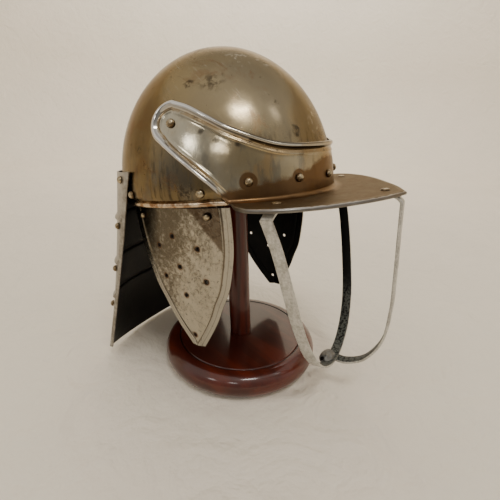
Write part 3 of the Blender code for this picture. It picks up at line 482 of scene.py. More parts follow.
class Graph:
    """A material's nodes, laid from its coordinates to its shader."""

    def __init__(self, name: str, **sockets: float) -> None:
        """Makes the material with a shader and sets the values that are the same all over.

        Args:
            name: the material's name.
            sockets: the shader's own values, with underscores for spaces.
        """
        self.material = bpy.data.materials.new(name)
        self.material.use_nodes = True
        self.tree = self.material.node_tree
        self.shader = self.tree.nodes["Principled BSDF"]
        for key, value in sockets.items():
            self.shader.inputs[key.replace("_", " ")].default_value = value
        coords = self.tree.nodes.new("ShaderNodeTexCoord")
        self.world = coords.outputs["Object"]

    def wire(self, socket: bpy.types.NodeSocket, value: object) -> None:
        """Links a socket to an output, or sets its value."""
        if isinstance(value, bpy.types.NodeSocket):
            self.tree.links.new(value, socket)
        elif isinstance(value, tuple) and len(value) == 3 and socket.type == "RGBA":
            socket.default_value = (*value, 1.0)
        else:
            socket.default_value = value

    def add(self, kind: str, inputs: dict[object, object], **settings: object) -> bpy.types.Node:
        """Adds a node.

        Args:
            kind: its type, without the usual start.
            inputs: values or outputs for its sockets, by name or number.
            settings: its properties by name.

        Returns:
            The node.
        """
        node = self.tree.nodes.new("ShaderNode" + kind)
        for key, value in settings.items():
            setattr(node, key, value)
        for key, value in inputs.items():
            self.wire(node.inputs[key], value)
        return node

    def helmet(self) -> bpy.types.NodeSocket:
        """Coordinates in the helmet's own frame."""
        back = Matrix.Rotation(SEAT.nose_up, 4, "X") @ Vector((0.0, -SEAT.set_back, -SEAT.level))
        return self.add(
            "Mapping",
            {"Vector": self.world, "Location": tuple(back), "Rotation": (SEAT.nose_up, 0.0, 0.0)},
        ).outputs[0]

    def stretched(self, coords: bpy.types.NodeSocket, scale: tuple[float, float, float],
                  turn: tuple[float, float, float] = (0.0, 0.0, 0.0)) -> bpy.types.NodeSocket:
        """Coordinates turned and scaled, for a pattern that runs one way."""
        turned = self.add("Mapping", {"Vector": coords, "Rotation": turn}).outputs[0]
        return self.add("Mapping", {"Vector": turned, "Scale": scale}).outputs[0]

    def noise(self, coords: bpy.types.NodeSocket, scale: float, detail: float = 4.0,
              rough: float = 0.55, twist: float = 0.0) -> bpy.types.NodeSocket:
        """Cloudy noise from 0 to 1."""
        return self.add(
            "TexNoise",
            {"Vector": coords, "Scale": scale, "Detail": detail, "Roughness": rough, "Distortion": twist},
        ).outputs[0]

    def cells(self, coords: bpy.types.NodeSocket, scale: float,
              feature: str = "F1") -> bpy.types.NodeSocket:
        """The distance to the nearest cell point or cell edge."""
        return self.add("TexVoronoi", {"Vector": coords, "Scale": scale}, feature=feature).outputs["Distance"]

    def step(self, value: bpy.types.NodeSocket, low: float, high: float, at_low: float = 0.0,
             at_high: float = 1.0) -> bpy.types.NodeSocket:
        """A smooth step of a value between two others."""
        return self.add(
            "MapRange", {0: value, 1: low, 2: high, 3: at_low, 4: at_high},
            interpolation_type="SMOOTHSTEP",
        ).outputs[0]

    def sum(self, *terms: object) -> bpy.types.NodeSocket:
        """Adds values."""
        return self.fold("ADD", terms)

    def times(self, *terms: object) -> bpy.types.NodeSocket:
        """Multiplies values."""
        return self.fold("MULTIPLY", terms)

    def most(self, *terms: object) -> bpy.types.NodeSocket:
        """The greatest of the values."""
        return self.fold("MAXIMUM", terms)

    def least(self, *terms: object) -> bpy.types.NodeSocket:
        """The smallest of the values."""
        return self.fold("MINIMUM", terms)

    def fold(self, operation: str, terms: Sequence[object]) -> bpy.types.NodeSocket:
        """Chains one operation over several values."""
        total = terms[0]
        for term in terms[1:]:
            total = self.add("Math", {0: total, 1: term}, operation=operation).outputs[0]
        return total

    def axis(self, coords: bpy.types.NodeSocket, name: str) -> bpy.types.NodeSocket:
        """One of a point's three numbers."""
        return self.add("SeparateXYZ", {0: coords}).outputs[name]

    def reach(self, coords: bpy.types.NodeSocket, point: Sequence[float]) -> bpy.types.NodeSocket:
        """The distance to a point."""
        return self.add("VectorMath", {0: coords, 1: tuple(point)}, operation="DISTANCE").outputs["Value"]

    def spot(self, coords: bpy.types.NodeSocket, point: Sequence[float], radius: float,
             soft: float, wobble: object = 0.0) -> bpy.types.NodeSocket:
        """A soft round mask about a point, its edge moved by a wobble in metres."""
        far = self.sum(self.reach(coords, point), wobble)
        return self.step(far, radius - soft, radius + soft, 1.0, 0.0)

    def mark(self, name: str) -> bpy.types.NodeSocket:
        """The piece's own attribute."""
        return self.add("Attribute", {}, attribute_name=name).outputs["Fac"]

    def blend(self, share: object, low: object, high: object) -> bpy.types.NodeSocket:
        """Mixes two colours by a share."""
        node = self.tree.nodes.new("ShaderNodeMix")
        node.data_type = "RGBA"
        self.wire(node.inputs[0], share)
        self.wire(node.inputs[6], low)
        self.wire(node.inputs[7], high)
        return node.outputs[2]

    def relief(self, height: bpy.types.NodeSocket, metres: float,
               under: bpy.types.NodeSocket | None = None) -> bpy.types.NodeSocket:
        """A bump of a height in metres for a value from 0 to 1."""
        inputs: dict[object, object] = {"Height": height, "Distance": metres, "Strength": 1.0}
        if under is not None:
            inputs["Normal"] = under
        return self.add("Bump", inputs).outputs[0]

    def done(self, **sockets: bpy.types.NodeSocket) -> bpy.types.Material:
        """Links the shader's sockets, named with underscores for spaces, and gives the material."""
        for key, value in sockets.items():
            self.wire(self.shader.inputs[key.replace("_", " ")], value)
        return self.material


# Finishes


@dataclass(frozen=True)
class AgedSteel:
    """The skull: nickel plate gone brownish gold, mottled, pitted and scratched."""

    olive: Colour = (0.150, 0.104, 0.045)
    gold: Colour = (0.262, 0.194, 0.092)
    silver: Colour = (0.330, 0.280, 0.190)
    grey: Colour = (0.125, 0.112, 0.088)
    # Painted dim reflection over the crown and round the wearer's left
    film: Colour = (0.098, 0.074, 0.040)
    edge: tuple[float, float, float, float] = (0.80, 0.745, 0.66, 1.0)
    rust: Colour = (0.130, 0.052, 0.018)
    pit: Colour = (0.030, 0.022, 0.015)
    copper: Colour = (0.270, 0.150, 0.075)
    # Rows: place, radius
    blots: Sequence[tuple[Sequence[float], float]] = (
        ((-0.0671, -0.0405, 0.0850), 0.0085), ((-0.0746, -0.0232, 0.0849), 0.0035),
        ((-0.0361, -0.0957, 0.0409), 0.0035), ((-0.1026, -0.0279, 0.0038), 0.0060),
        ((-0.0413, -0.0819, 0.0661), 0.0030), ((-0.0990, 0.0170, 0.0380), 0.0030),
    )
    rubs: Sequence[tuple[Sequence[float], float]] = (
        ((-0.0069, -0.1004, 0.0467), 0.0060), ((0.0010, -0.0950, 0.0600), 0.0070),
        ((-0.0378, -0.0503, 0.1014), 0.0090), ((-0.0150, -0.0600, 0.1040), 0.0080),
    )

    def make(self) -> bpy.types.Material:
        """Lays the nodes."""
        g = Graph("aged_skull_steel", Metallic=1.0, Specular_Tint=self.edge)
        at = g.helmet()
        cloud = g.noise(at, 14.0, 4.0, 0.60, 0.4)
        fine = g.noise(at, 95.0, 5.0, 0.65)
        grain = g.noise(at, 900.0, 3.0, 0.6)
        colour = g.blend(g.step(cloud, 0.34, 0.66), self.olive, self.gold)
        worn = g.spot(at, (-0.055, -0.065, 0.075), 0.055, 0.045, g.times(g.sum(cloud, -0.5), 0.10))
        colour = g.blend(g.times(worn, 0.60), colour, self.silver)
        broad = g.step(g.noise(g.stretched(at, (1.0, 1.0, 0.5)), 9.0, 5.0, 0.65, 0.8), 0.44, 0.60)
        colour = g.blend(g.times(broad, 0.30), colour, self.grey)
        # Painted dim reflection: the crown and the wearer's left are darkened to a dull brown, where the dome reflects
        # the dim ceiling and far room.
        across = g.sum(g.axis(at, "Z"), g.times(g.axis(at, "X"), 0.9), g.times(g.sum(cloud, -0.5), 0.03))
        colour = g.blend(g.times(g.step(across, 0.015, 0.085), 0.55), colour, self.film)
        streak = g.noise(g.stretched(at, (260.0, 260.0, 16.0)), 1.0, 3.0, 0.6)
        low = g.step(g.axis(at, "Z"), 0.012, 0.060, 1.0, 0.0)
        colour = g.blend(g.times(g.step(streak, 0.52, 0.66), low, 0.70), colour, self.pit)
        smoky = g.step(g.noise(g.stretched(at, (48.0, 48.0, 17.0)), 1.0, 5.0, 0.7), 0.46, 0.60)
        colour = g.blend(g.times(smoky, low, 0.65), colour, self.grey)
        behind = g.step(g.axis(at, "Y"), -0.010, 0.050)
        bloom = g.times(g.step(g.noise(at, 42.0, 6.0, 0.72, 0.6), 0.47, 0.60), behind, 0.6)
        colour = g.blend(bloom, colour, self.rust)
        patch = g.step(g.noise(at, 26.0, 6.0, 0.7, 0.8), 0.57, 0.70)
        colour = g.blend(g.times(patch, 0.45), colour, self.rust)
        pits = g.times(g.step(g.cells(at, 420.0), 0.10, 0.26, 1.0, 0.0), g.step(fine, 0.50, 0.66))
        wobble = g.times(g.sum(g.noise(at, 60.0, 4.0, 0.6), -0.5), 0.022)
        blots = g.most(*[g.spot(at, place, size, size * 0.5, wobble) for place, size in self.blots])
        stains = g.times(blots, g.step(g.noise(at, 190.0, 6.0, 0.75), 0.46, 0.56))
        dark = g.most(g.times(pits, 0.8), g.times(stains, 0.75))
        colour = g.blend(dark, colour, self.pit)
        scratch = g.noise(g.stretched(at, (900.0, 30.0, 60.0), (0.3, 0.5, 0.9)), 1.0, 2.0, 0.5)
        scratched = g.times(g.step(scratch, 0.66, 0.74), g.step(g.axis(at, "Z"), 0.04, 0.10), 0.4)
        rubs = g.most(*[g.spot(at, place, size, size * 0.6, wobble) for place, size in self.rubs])
        rubbed = g.times(rubs, g.step(g.noise(at, 150.0, 5.0, 0.7), 0.52, 0.62), 0.7)
        colour = g.blend(g.most(scratched, rubbed), colour, (0.60, 0.56, 0.47))
        roll = g.step(g.axis(at, "Z"), -0.0068, -0.0058, 1.0, 0.0)
        roll_tone = g.blend(g.step(fine, 0.40, 0.62), self.copper, (0.62, 0.50, 0.36))
        colour = g.blend(roll, colour, roll_tone)
        rough = g.sum(g.step(cloud, 0.3, 0.7, 0.17, 0.26), g.times(g.sum(fine, -0.5), 0.14),
                      g.times(dark, 0.30), g.times(patch, 0.12))
        bump = g.relief(grain, 0.000020)
        bump = g.relief(g.sum(g.times(fine, 0.5), g.times(dark, -0.5)), 0.00007, bump)
        bump = g.relief(g.noise(at, 34.0, 2.0, 0.4), 0.0006, bump)
        return g.done(Base_Color=colour, Roughness=rough, Normal=bump)


@dataclass(frozen=True)
class PeakSteel:
    """The peak: polished plate whose bead has a painted highlight on its crest and painted shade below it, brown
    stains over the brim and a worn top.
    """

    silver: Colour = (0.400, 0.370, 0.290)
    gold: Colour = (0.320, 0.255, 0.150)
    # Painted highlight on the bead's crest; also the brim's rubbed lip
    chrome: Colour = (0.640, 0.625, 0.590)
    brass: Colour = (0.260, 0.180, 0.095)
    brown: Colour = (0.150, 0.078, 0.028)
    plum: Colour = (0.105, 0.052, 0.024)
    tan: Colour = (0.360, 0.235, 0.105)
    smoke: Colour = (0.150, 0.140, 0.112)
    rubbed: Colour = (0.140, 0.108, 0.068)
    dusty: Colour = (0.112, 0.072, 0.038)
    edge: tuple[float, float, float, float] = (0.80, 0.745, 0.66, 1.0)
    # Painted shade along the bead and under the brim's roll; also the real specks, marks and grime in the trough
    dark: Colour = (0.040, 0.034, 0.028)

    def make(self) -> bpy.types.Material:
        """Lays the nodes."""
        g = Graph("polished_peak_steel", Metallic=1.0, Specular_Tint=self.edge)
        at = g.helmet()
        cloud = g.noise(at, 22.0, 4.0, 0.6, 0.5)
        fine = g.noise(at, 120.0, 6.0, 0.65)
        front = g.step(g.axis(at, "Y"), -0.085, 0.010, 1.0, 0.0)
        tone = g.sum(g.times(g.sum(cloud, -0.5), 1.5), g.times(front, 0.75))
        colour = g.blend(g.step(tone, 0.10, 0.95), self.silver, self.gold)
        tan = g.step(g.noise(at, 34.0, 5.0, 0.6, 0.4), 0.53, 0.63)
        colour = g.blend(g.times(tan, front, 0.60), colour, self.tan)
        smoky = g.step(g.noise(g.stretched(at, (75.0, 75.0, 20.0)), 1.0, 5.0, 0.65), 0.50, 0.62)
        colour = g.blend(g.times(smoky, g.step(front, 0.0, 1.0, 0.25, 0.55)), colour, self.smoke)
        edge = g.mark("from_edge")
        # Painted highlight: the bead's crest is given a bright chrome colour, less of it round the front.
        crest_highlight = g.step(edge, 0.0048, 0.0062, 1.0, 0.0)
        colour = g.blend(g.times(crest_highlight, g.step(front, 0.55, 1.0, 1.0, 0.35)), colour, self.chrome)
        # Painted shade: the bead's fall, the shadow line at its foot and, round the front, its rise are darkened, more
        # so round the front.
        fall = g.times(g.step(edge, 0.0036, 0.0042), g.step(edge, 0.0048, 0.0056, 1.0, 0.0))
        foot = g.step(g.sum(edge, g.times(g.sum(fine, -0.5), 0.0010)), 0.0003, 0.0009, 1.0, 0.0)
        rise = g.times(g.step(edge, 0.0008, 0.0012), g.step(edge, 0.0018, 0.0024, 1.0, 0.0), front)
        shade = g.times(g.most(fall, foot, rise), g.step(front, 0.0, 1.0, 0.45, 0.90))
        colour = g.blend(shade, colour, self.dark)
        trough = g.times(g.step(edge, 0.0050, 0.0062), g.step(edge, 0.0080, 0.0092, 1.0, 0.0))
        flaked = g.step(g.noise(g.stretched(at, (60.0, 60.0, 90.0)), 1.0, 4.0, 0.7), 0.36, 0.55)
        colour = g.blend(g.times(trough, flaked, 0.75), colour, self.brass)
        colour = g.blend(g.times(trough, g.step(fine, 0.56, 0.66), 0.8), colour, self.dark)
        # The stain stands over the crease and climbs steeply at the very front.
        climb = g.step(g.axis(at, "Y"), -0.112, -0.094, 1.0, 0.0)
        over = g.sum(g.axis(at, "Z"), g.times(front, -0.016), g.times(climb, -0.014),
                     g.times(g.sum(cloud, -0.5), -0.024),
                     g.times(g.sum(fine, -0.5), -0.008))
        stain = g.step(over, -0.0140, -0.0085, 1.0, 0.0)
        rings: list[object] = []
        for angle, height in ((0.0, 0.0021), (24.0, 0.0040), (48.0, 0.0059)):
            for side in (-1.0, 1.0):
                spot = SKULL.place(math.radians(angle) * side, height, BRIM.band_lift)
                rings.append(g.spot(at, spot, 0.0074, 0.0006, g.times(g.sum(fine, -0.5), 0.0012)))
        stain = g.most(stain, *rings)
        colour = g.blend(g.times(stain, 0.88), colour, g.blend(fine, self.brown, self.plum))
        brim = g.mark("on_brim")
        rubbed = g.step(g.noise(g.stretched(at, (38.0, 80.0, 38.0)), 1.0, 7.0, 0.72, 0.5), 0.42, 0.62)
        worn = g.blend(rubbed, self.dusty, self.rubbed)
        colour = g.blend(g.times(brim, 0.92), colour, worn)
        lip = g.times(brim, g.step(g.sum(edge, g.times(g.sum(fine, -0.5), 0.004)), 0.0006, 0.0022, 1.0, 0.0))
        colour = g.blend(g.times(lip, g.step(cloud, 0.35, 0.65, 0.85, 0.45)), colour, self.chrome)
        # Painted shade along the outer face and underside of the brim's rolled edge.
        colour = g.blend(g.times(brim, foot, 0.70), colour, self.dark)
        marks: list[object] = []
        for angle, height, size in ((66.0, 0.0460, 0.0028), (60.0, 0.0385, 0.0030), (50.5, 0.0345, 0.0030)):
            point = SKULL.place(math.radians(angle), height, BRIM.band_lift)
            marks.append(g.spot(at, point, size * 0.7, size * 0.5, g.times(g.sum(fine, -0.5), 0.007)))
        specks = g.times(g.step(g.cells(at, 520.0), 0.08, 0.22, 1.0, 0.0), g.step(fine, 0.52, 0.66), 0.7)
        dark = g.most(specks, *[g.times(spot, 0.75) for spot in marks])
        colour = g.blend(dark, colour, self.dark)
        rough = g.sum(g.times(g.sum(fine, -0.5), 0.10), g.times(stain, 0.14), g.times(brim, 0.18),
                      g.times(crest_highlight, -0.09), g.times(lip, -0.08), 0.17)
        bump = g.relief(g.noise(at, 1000.0, 3.0, 0.6), 0.000016)
        bump = g.relief(g.sum(fine, g.times(dark, -0.8)), 0.00007, bump)
        bump = g.relief(g.noise(at, 42.0, 2.0, 0.45), 0.0006, bump)
        return g.done(Base_Color=colour, Roughness=rough, Normal=bump)


@dataclass(frozen=True)
class UndersideSteel:
    """The unpolished inside of the helmet's plates."""

    name: str = "dull_inside_steel"
    light: Colour = (0.130, 0.115, 0.095)
    dark: Colour = (0.030, 0.026, 0.022)

    def make(self) -> bpy.types.Material:
        """Lays the nodes."""
        g = Graph(self.name, Metallic=0.75)
        at = g.helmet()
        cloud = g.noise(at, 40.0, 5.0, 0.65)
        fine = g.noise(at, 300.0, 4.0, 0.6)
        colour = g.blend(g.step(cloud, 0.35, 0.68), self.dark, self.light)
        rough = g.step(fine, 0.3, 0.7, 0.42, 0.62)
        return g.done(Base_Color=colour, Roughness=rough, Normal=g.relief(fine, 0.00008))


@dataclass(frozen=True)
class CheekSteel:
    """The cheekpieces: bright plate, finely crackled and pitted, with a clean turned flange."""

    silver: Colour = (0.410, 0.378, 0.305)
    dull: Colour = (0.135, 0.112, 0.078)
    flange: Colour = (0.360, 0.340, 0.290)
    rust: Colour = (0.150, 0.070, 0.030)
    pit: Colour = (0.040, 0.034, 0.028)
    # The painted shade lines along the flange and ridge, and the real dark patch
    patch: Colour = (0.060, 0.036, 0.020)

    def make(self) -> bpy.types.Material:
        """Lays the nodes."""
        g = Graph("crackled_cheek_steel", Metallic=1.0)
        at = g.helmet()
        cloud = g.noise(at, 34.0, 5.0, 0.65, 0.6)
        fine = g.noise(at, 260.0, 6.0, 0.72, 0.5)
        crackle = g.step(g.cells(at, 620.0, "DISTANCE_TO_EDGE"), 0.02, 0.12, 1.0, 0.0)
        ahead = g.sum(g.times(g.axis(at, "Y"), -1.0), g.times(g.axis(at, "Z"), -0.6))
        tone = g.sum(g.times(cloud, 0.34), g.times(fine, 0.72), g.step(ahead, 0.0, 0.085, 0.16, -0.06))
        colour = g.blend(g.step(tone, 0.46, 0.72), self.silver, self.dull)
        colour = g.blend(g.times(crackle, g.step(cloud, 0.40, 0.60), 0.30), colour, self.pit)
        specks = g.times(g.step(g.cells(at, 480.0), 0.10, 0.28, 1.0, 0.0), g.step(fine, 0.50, 0.62))
        colour = g.blend(g.times(specks, 0.75), colour, self.pit)
        edge = g.mark("from_edge")
        flange = g.step(edge, 0.0068, 0.0074, 1.0, 0.0)
        colour = g.blend(g.times(flange, 0.75), colour, self.flange)
        # Painted shade: a dark line on the ridge's flank where it meets the flange, and a fainter one across the flat
        # flange, give the flange the look of a roll.
        crease = g.times(g.step(edge, 0.0070, 0.0075), g.step(edge, 0.0080, 0.0088, 1.0, 0.0))
        line = g.times(g.step(edge, 0.0030, 0.0034), g.step(edge, 0.0038, 0.0043, 1.0, 0.0), 0.35)
        # A dark patch comes down the front of the field from the top.
        wedge = g.sum(g.times(g.axis(at, "Y"), -1.0), g.times(g.axis(at, "Z"), 0.75),
                      g.times(g.sum(cloud, -0.5), 0.008))
        patch = g.times(g.step(wedge, -0.0010, 0.0030), g.step(edge, 0.0084, 0.0094))
        colour = g.blend(g.most(g.times(crease, 0.75), g.times(patch, 0.78), line), colour, self.patch)
        near = g.sum(g.mark("to_hole"), g.times(g.sum(fine, -0.5), 0.0024))
        holes = g.step(near, 0.0024, 0.0046, 1.0, 0.0)
        colour = g.blend(g.times(holes, 0.85), colour, self.rust)
        colour = g.blend(g.step(near, 0.0021, 0.0030, 0.9, 0.0), colour, self.pit)
        rough = g.sum(g.step(tone, 0.40, 0.72, 0.20, 0.36), g.times(flange, -0.07), g.times(holes, 0.2))
        bump = g.relief(fine, 0.00010)
        bump = g.relief(g.times(specks, -1.0), 0.00012, bump)
        bump = g.relief(g.noise(at, 60.0, 2.0, 0.5), 0.0005, bump)
        return g.done(Base_Color=colour, Roughness=rough, Normal=bump)


@dataclass(frozen=True)
class GuardSteel:
    """The neck guard's grey outside."""

    light: Colour = (0.430, 0.412, 0.375)
    dark: Colour = (0.190, 0.172, 0.145)

    def make(self) -> bpy.types.Material:
        """Lays the nodes."""
        g = Graph("grey_guard_steel", Metallic=1.0)
        at = g.helmet()
        cloud = g.noise(at, 28.0, 6.0, 0.66, 0.5)
        fine = g.noise(at, 300.0, 5.0, 0.6)
        brushed = g.noise(g.stretched(at, (30.0, 30.0, 900.0)), 1.0, 3.0, 0.6)
        colour = g.blend(g.step(g.sum(g.times(cloud, 0.7), g.times(fine, 0.3)), 0.36, 0.64), self.dark, self.light)
        specks = g.times(g.step(g.cells(at, 380.0), 0.08, 0.24, 1.0, 0.0), g.step(cloud, 0.45, 0.62))
        colour = g.blend(g.times(specks, 0.7), colour, (0.070, 0.050, 0.035))
        rough = g.sum(g.step(cloud, 0.3, 0.7, 0.30, 0.46), g.times(g.sum(brushed, -0.5), 0.12))
        bump = g.relief(g.sum(fine, g.times(brushed, 0.5)), 0.00006)
        return g.done(Base_Color=colour, Roughness=rough, Normal=bump)


@dataclass(frozen=True)
class BlackPaint:
    """Satin black paint on the neck guard's inside, and on the bars' inner faces."""

    name: str = "satin_black_paint"
    black: Colour = (0.004, 0.004, 0.004)
    dust: Colour = (0.020, 0.018, 0.016)
    bare: Colour = (0.105, 0.108, 0.092)
    bare_below: float | None = None

    def make(self) -> bpy.types.Material:
        """Lays the nodes."""
        g = Graph(self.name, Metallic=0.0, Specular_IOR_Level=0.16)
        at = g.helmet()
        cloud = g.noise(at, 30.0, 6.0, 0.7, 0.3)
        fine = g.noise(at, 420.0, 4.0, 0.6)
        colour = g.blend(g.step(cloud, 0.50, 0.80), self.black, self.dust)
        if self.bare_below is not None:
            depth = g.sum(g.axis(at, "Z"), g.times(g.sum(cloud, -0.5), 0.10))
            bare = g.step(depth, self.bare_below - 0.03, self.bare_below + 0.03, 1.0, 0.0)
            colour = g.blend(g.times(bare, g.step(fine, 0.40, 0.55)), colour, self.bare)
        rough = g.step(g.sum(g.times(cloud, 0.6), g.times(fine, 0.4)), 0.35, 0.65, 0.36, 0.52)
        return g.done(Base_Color=colour, Roughness=rough, Normal=g.relief(fine, 0.00010))


@dataclass(frozen=True)
class BarSteel:
    """The face guard's outside: pale, matte, filed steel; darker and rougher at the weld."""

    name: str = "filed_bar_steel"
    pale: Colour = (0.650, 0.640, 0.600)
    grey: Colour = (0.340, 0.330, 0.300)
    scale: Colour = (0.070, 0.066, 0.058)
    coarse: float = 0.0
    # Where a near-black spot is painted for a small hole
    pit: tuple[float, float, float] = (-0.0150, -0.1040, -0.1860)

    def make(self) -> bpy.types.Material:
        """Lays the nodes."""
        g = Graph(self.name, Metallic=0.9)
        at = g.helmet()
        cloud = g.noise(at, 55.0, 6.0, 0.66, 0.4)
        fine = g.noise(at, 420.0, 5.0, 0.65)
        filed = g.noise(g.stretched(at, (400.0, 400.0, 40.0)), 1.0, 4.0, 0.6)
        mix = g.sum(g.times(cloud, 0.40), g.times(fine, 0.40), g.times(filed, 0.20))
        colour = g.blend(g.step(mix, 0.36, 0.62), self.grey, self.pale)
        weld = g.spot(at, (-0.004, -0.108, -0.188), 0.014, 0.012, g.times(g.sum(cloud, -0.5), 0.03))
        colour = g.blend(g.most(g.times(weld, 0.8), self.coarse), colour, self.scale)
        # Painted shade: a near-black spot stands in for a small hole in the bar.
        pit = g.spot(at, self.pit, 0.0024, 0.0008, g.times(g.sum(fine, -0.5), 0.0016))
        colour = g.blend(pit, colour, (0.008, 0.006, 0.005))
        specks = g.times(g.step(g.cells(at, 600.0), 0.10, 0.25, 1.0, 0.0), g.step(fine, 0.48, 0.62))
        colour = g.blend(g.times(specks, 0.6), colour, (0.060, 0.048, 0.036))
        rough = g.sum(g.step(mix, 0.35, 0.65, 0.48, 0.36), g.times(weld, 0.12))
        bump = g.relief(g.sum(fine, g.times(filed, 0.6)), 0.00010 + 0.0006 * self.coarse)
        return g.done(Base_Color=colour, Roughness=rough, Normal=bump)


@dataclass(frozen=True)
class RivetNickel:
    """Brassy nickel domes, dark round their feet."""

    bright: Colour = (0.440, 0.370, 0.245)
    brown: Colour = (0.130, 0.088, 0.048)

    def make(self) -> bpy.types.Material:
        """Lays the nodes."""
        g = Graph("brassy_rivet_nickel", Metallic=1.0)
        at = g.helmet()
        cloud = g.noise(at, 240.0, 5.0, 0.65, 0.4)
        fine = g.noise(at, 1500.0, 4.0, 0.6)
        foot = g.mark("foot")
        colour = g.blend(g.step(g.sum(cloud, g.times(foot, 0.30)), 0.42, 0.72), self.bright, self.brown)
        rough = g.step(g.sum(g.times(cloud, 0.7), g.times(fine, 0.3)), 0.35, 0.65, 0.22, 0.38)
        return g.done(Base_Color=colour, Roughness=rough, Normal=g.relief(fine, 0.00004))


@dataclass(frozen=True)
class Mahogany:
    """Varnished red-brown wood; the grain runs across the base and up the post."""

    name: str = "varnished_mahogany"
    along: tuple[float, float, float] = (1.0, 1.0, 0.06)
    red: Colour = (0.098, 0.015, 0.006)
    deep: Colour = (0.048, 0.008, 0.004)
    # Radius of the turned groove that gets a painted shade ring; 0 for none
    groove: float = 0.0
    gloss: float = 0.75

    def make(self) -> bpy.types.Material:
        """Lays the nodes."""
        g = Graph(self.name, Metallic=0.0, Roughness=0.34, Specular_IOR_Level=0.2,
                  Coat_Weight=self.gloss, Coat_Roughness=0.11, Coat_IOR=1.5)
        at = g.world
        run = g.stretched(at, self.along, (0.0, 0.0, 0.30))
        wander = g.noise(run, 14.0, 3.0, 0.5)
        rings = g.add(
            "TexWave", {"Vector": run, "Scale": 30.0, "Distortion": 5.0, "Detail": 3.0, "Detail Scale": 1.5},
            wave_type="BANDS", bands_direction="X" if self.along[2] < 1 else "Y",
        ).outputs["Fac"]
        fibre = g.noise(g.stretched(run, (900.0, 900.0, 900.0)), 1.0, 3.0, 0.65)
        pores = g.step(g.noise(g.stretched(run, (1600.0, 1600.0, 1600.0)), 1.0, 2.0, 0.5), 0.60, 0.72)
        tone = g.sum(g.times(rings, 0.35), g.times(fibre, 0.35), g.times(wander, 0.40))
        colour = g.blend(g.step(tone, 0.30, 0.75), self.deep, self.red)
        colour = g.blend(g.times(pores, 0.55), colour, (0.016, 0.004, 0.003))
        if self.groove:
            # Painted shade: a near-black ring along the turned groove.
            far = g.reach(at, (0.0, 0.0, 0.0285))
            line = g.times(g.step(far, self.groove - 0.0016, self.groove - 0.0008),
                           g.step(far, self.groove + 0.0004, self.groove + 0.0012, 1.0, 0.0))
            colour = g.blend(g.times(line, 0.85), colour, (0.008, 0.002, 0.002))
        bump = g.relief(g.sum(fibre, g.times(pores, -0.6)), 0.00003)
        return g.done(Base_Color=colour, Normal=bump)


@dataclass(frozen=True)
class Leather:
    """Dark waxed strap leather."""

    light: Colour = (0.090, 0.052, 0.030)
    dark: Colour = (0.028, 0.016, 0.011)

    def make(self) -> bpy.types.Material:
        """Lays the nodes."""
        g = Graph("waxed_strap_leather", Metallic=0.0)
        at = g.helmet()
        cloud = g.noise(at, 70.0, 5.0, 0.65)
        creases = g.step(g.cells(at, 900.0, "DISTANCE_TO_EDGE"), 0.0, 0.12, 1.0, 0.0)
        colour = g.blend(g.step(cloud, 0.35, 0.68), self.dark, self.light)
        colour = g.blend(g.times(creases, 0.4), colour, self.dark)
        rough = g.step(cloud, 0.3, 0.7, 0.48, 0.66)
        return g.done(Base_Color=colour, Roughness=rough, Normal=g.relief(g.times(creases, -1.0), 0.00012))


@dataclass(frozen=True)
class PaleCloth:
    """The plain pale floor, very slightly crumpled."""

    pale: Colour = (0.845, 0.765, 0.640)

    def make(self) -> bpy.types.Material:
        """Lays the nodes."""
        g = Graph("pale_floor", Metallic=0.0, Roughness=0.85)
        cloud = g.noise(g.world, 5.0, 4.0, 0.5)
        colour = g.blend(g.step(cloud, 0.3, 0.7), tuple(0.97 * c for c in self.pale), self.pale)
        crumpled = g.noise(g.world, 16.0, 3.0, 0.5, 1.2)
        bump = g.relief(g.noise(g.world, 90.0, 5.0, 0.6), 0.0016, g.relief(crumpled, 0.006))
        return g.done(Base_Color=colour, Normal=bump)


# Sub-assemblies


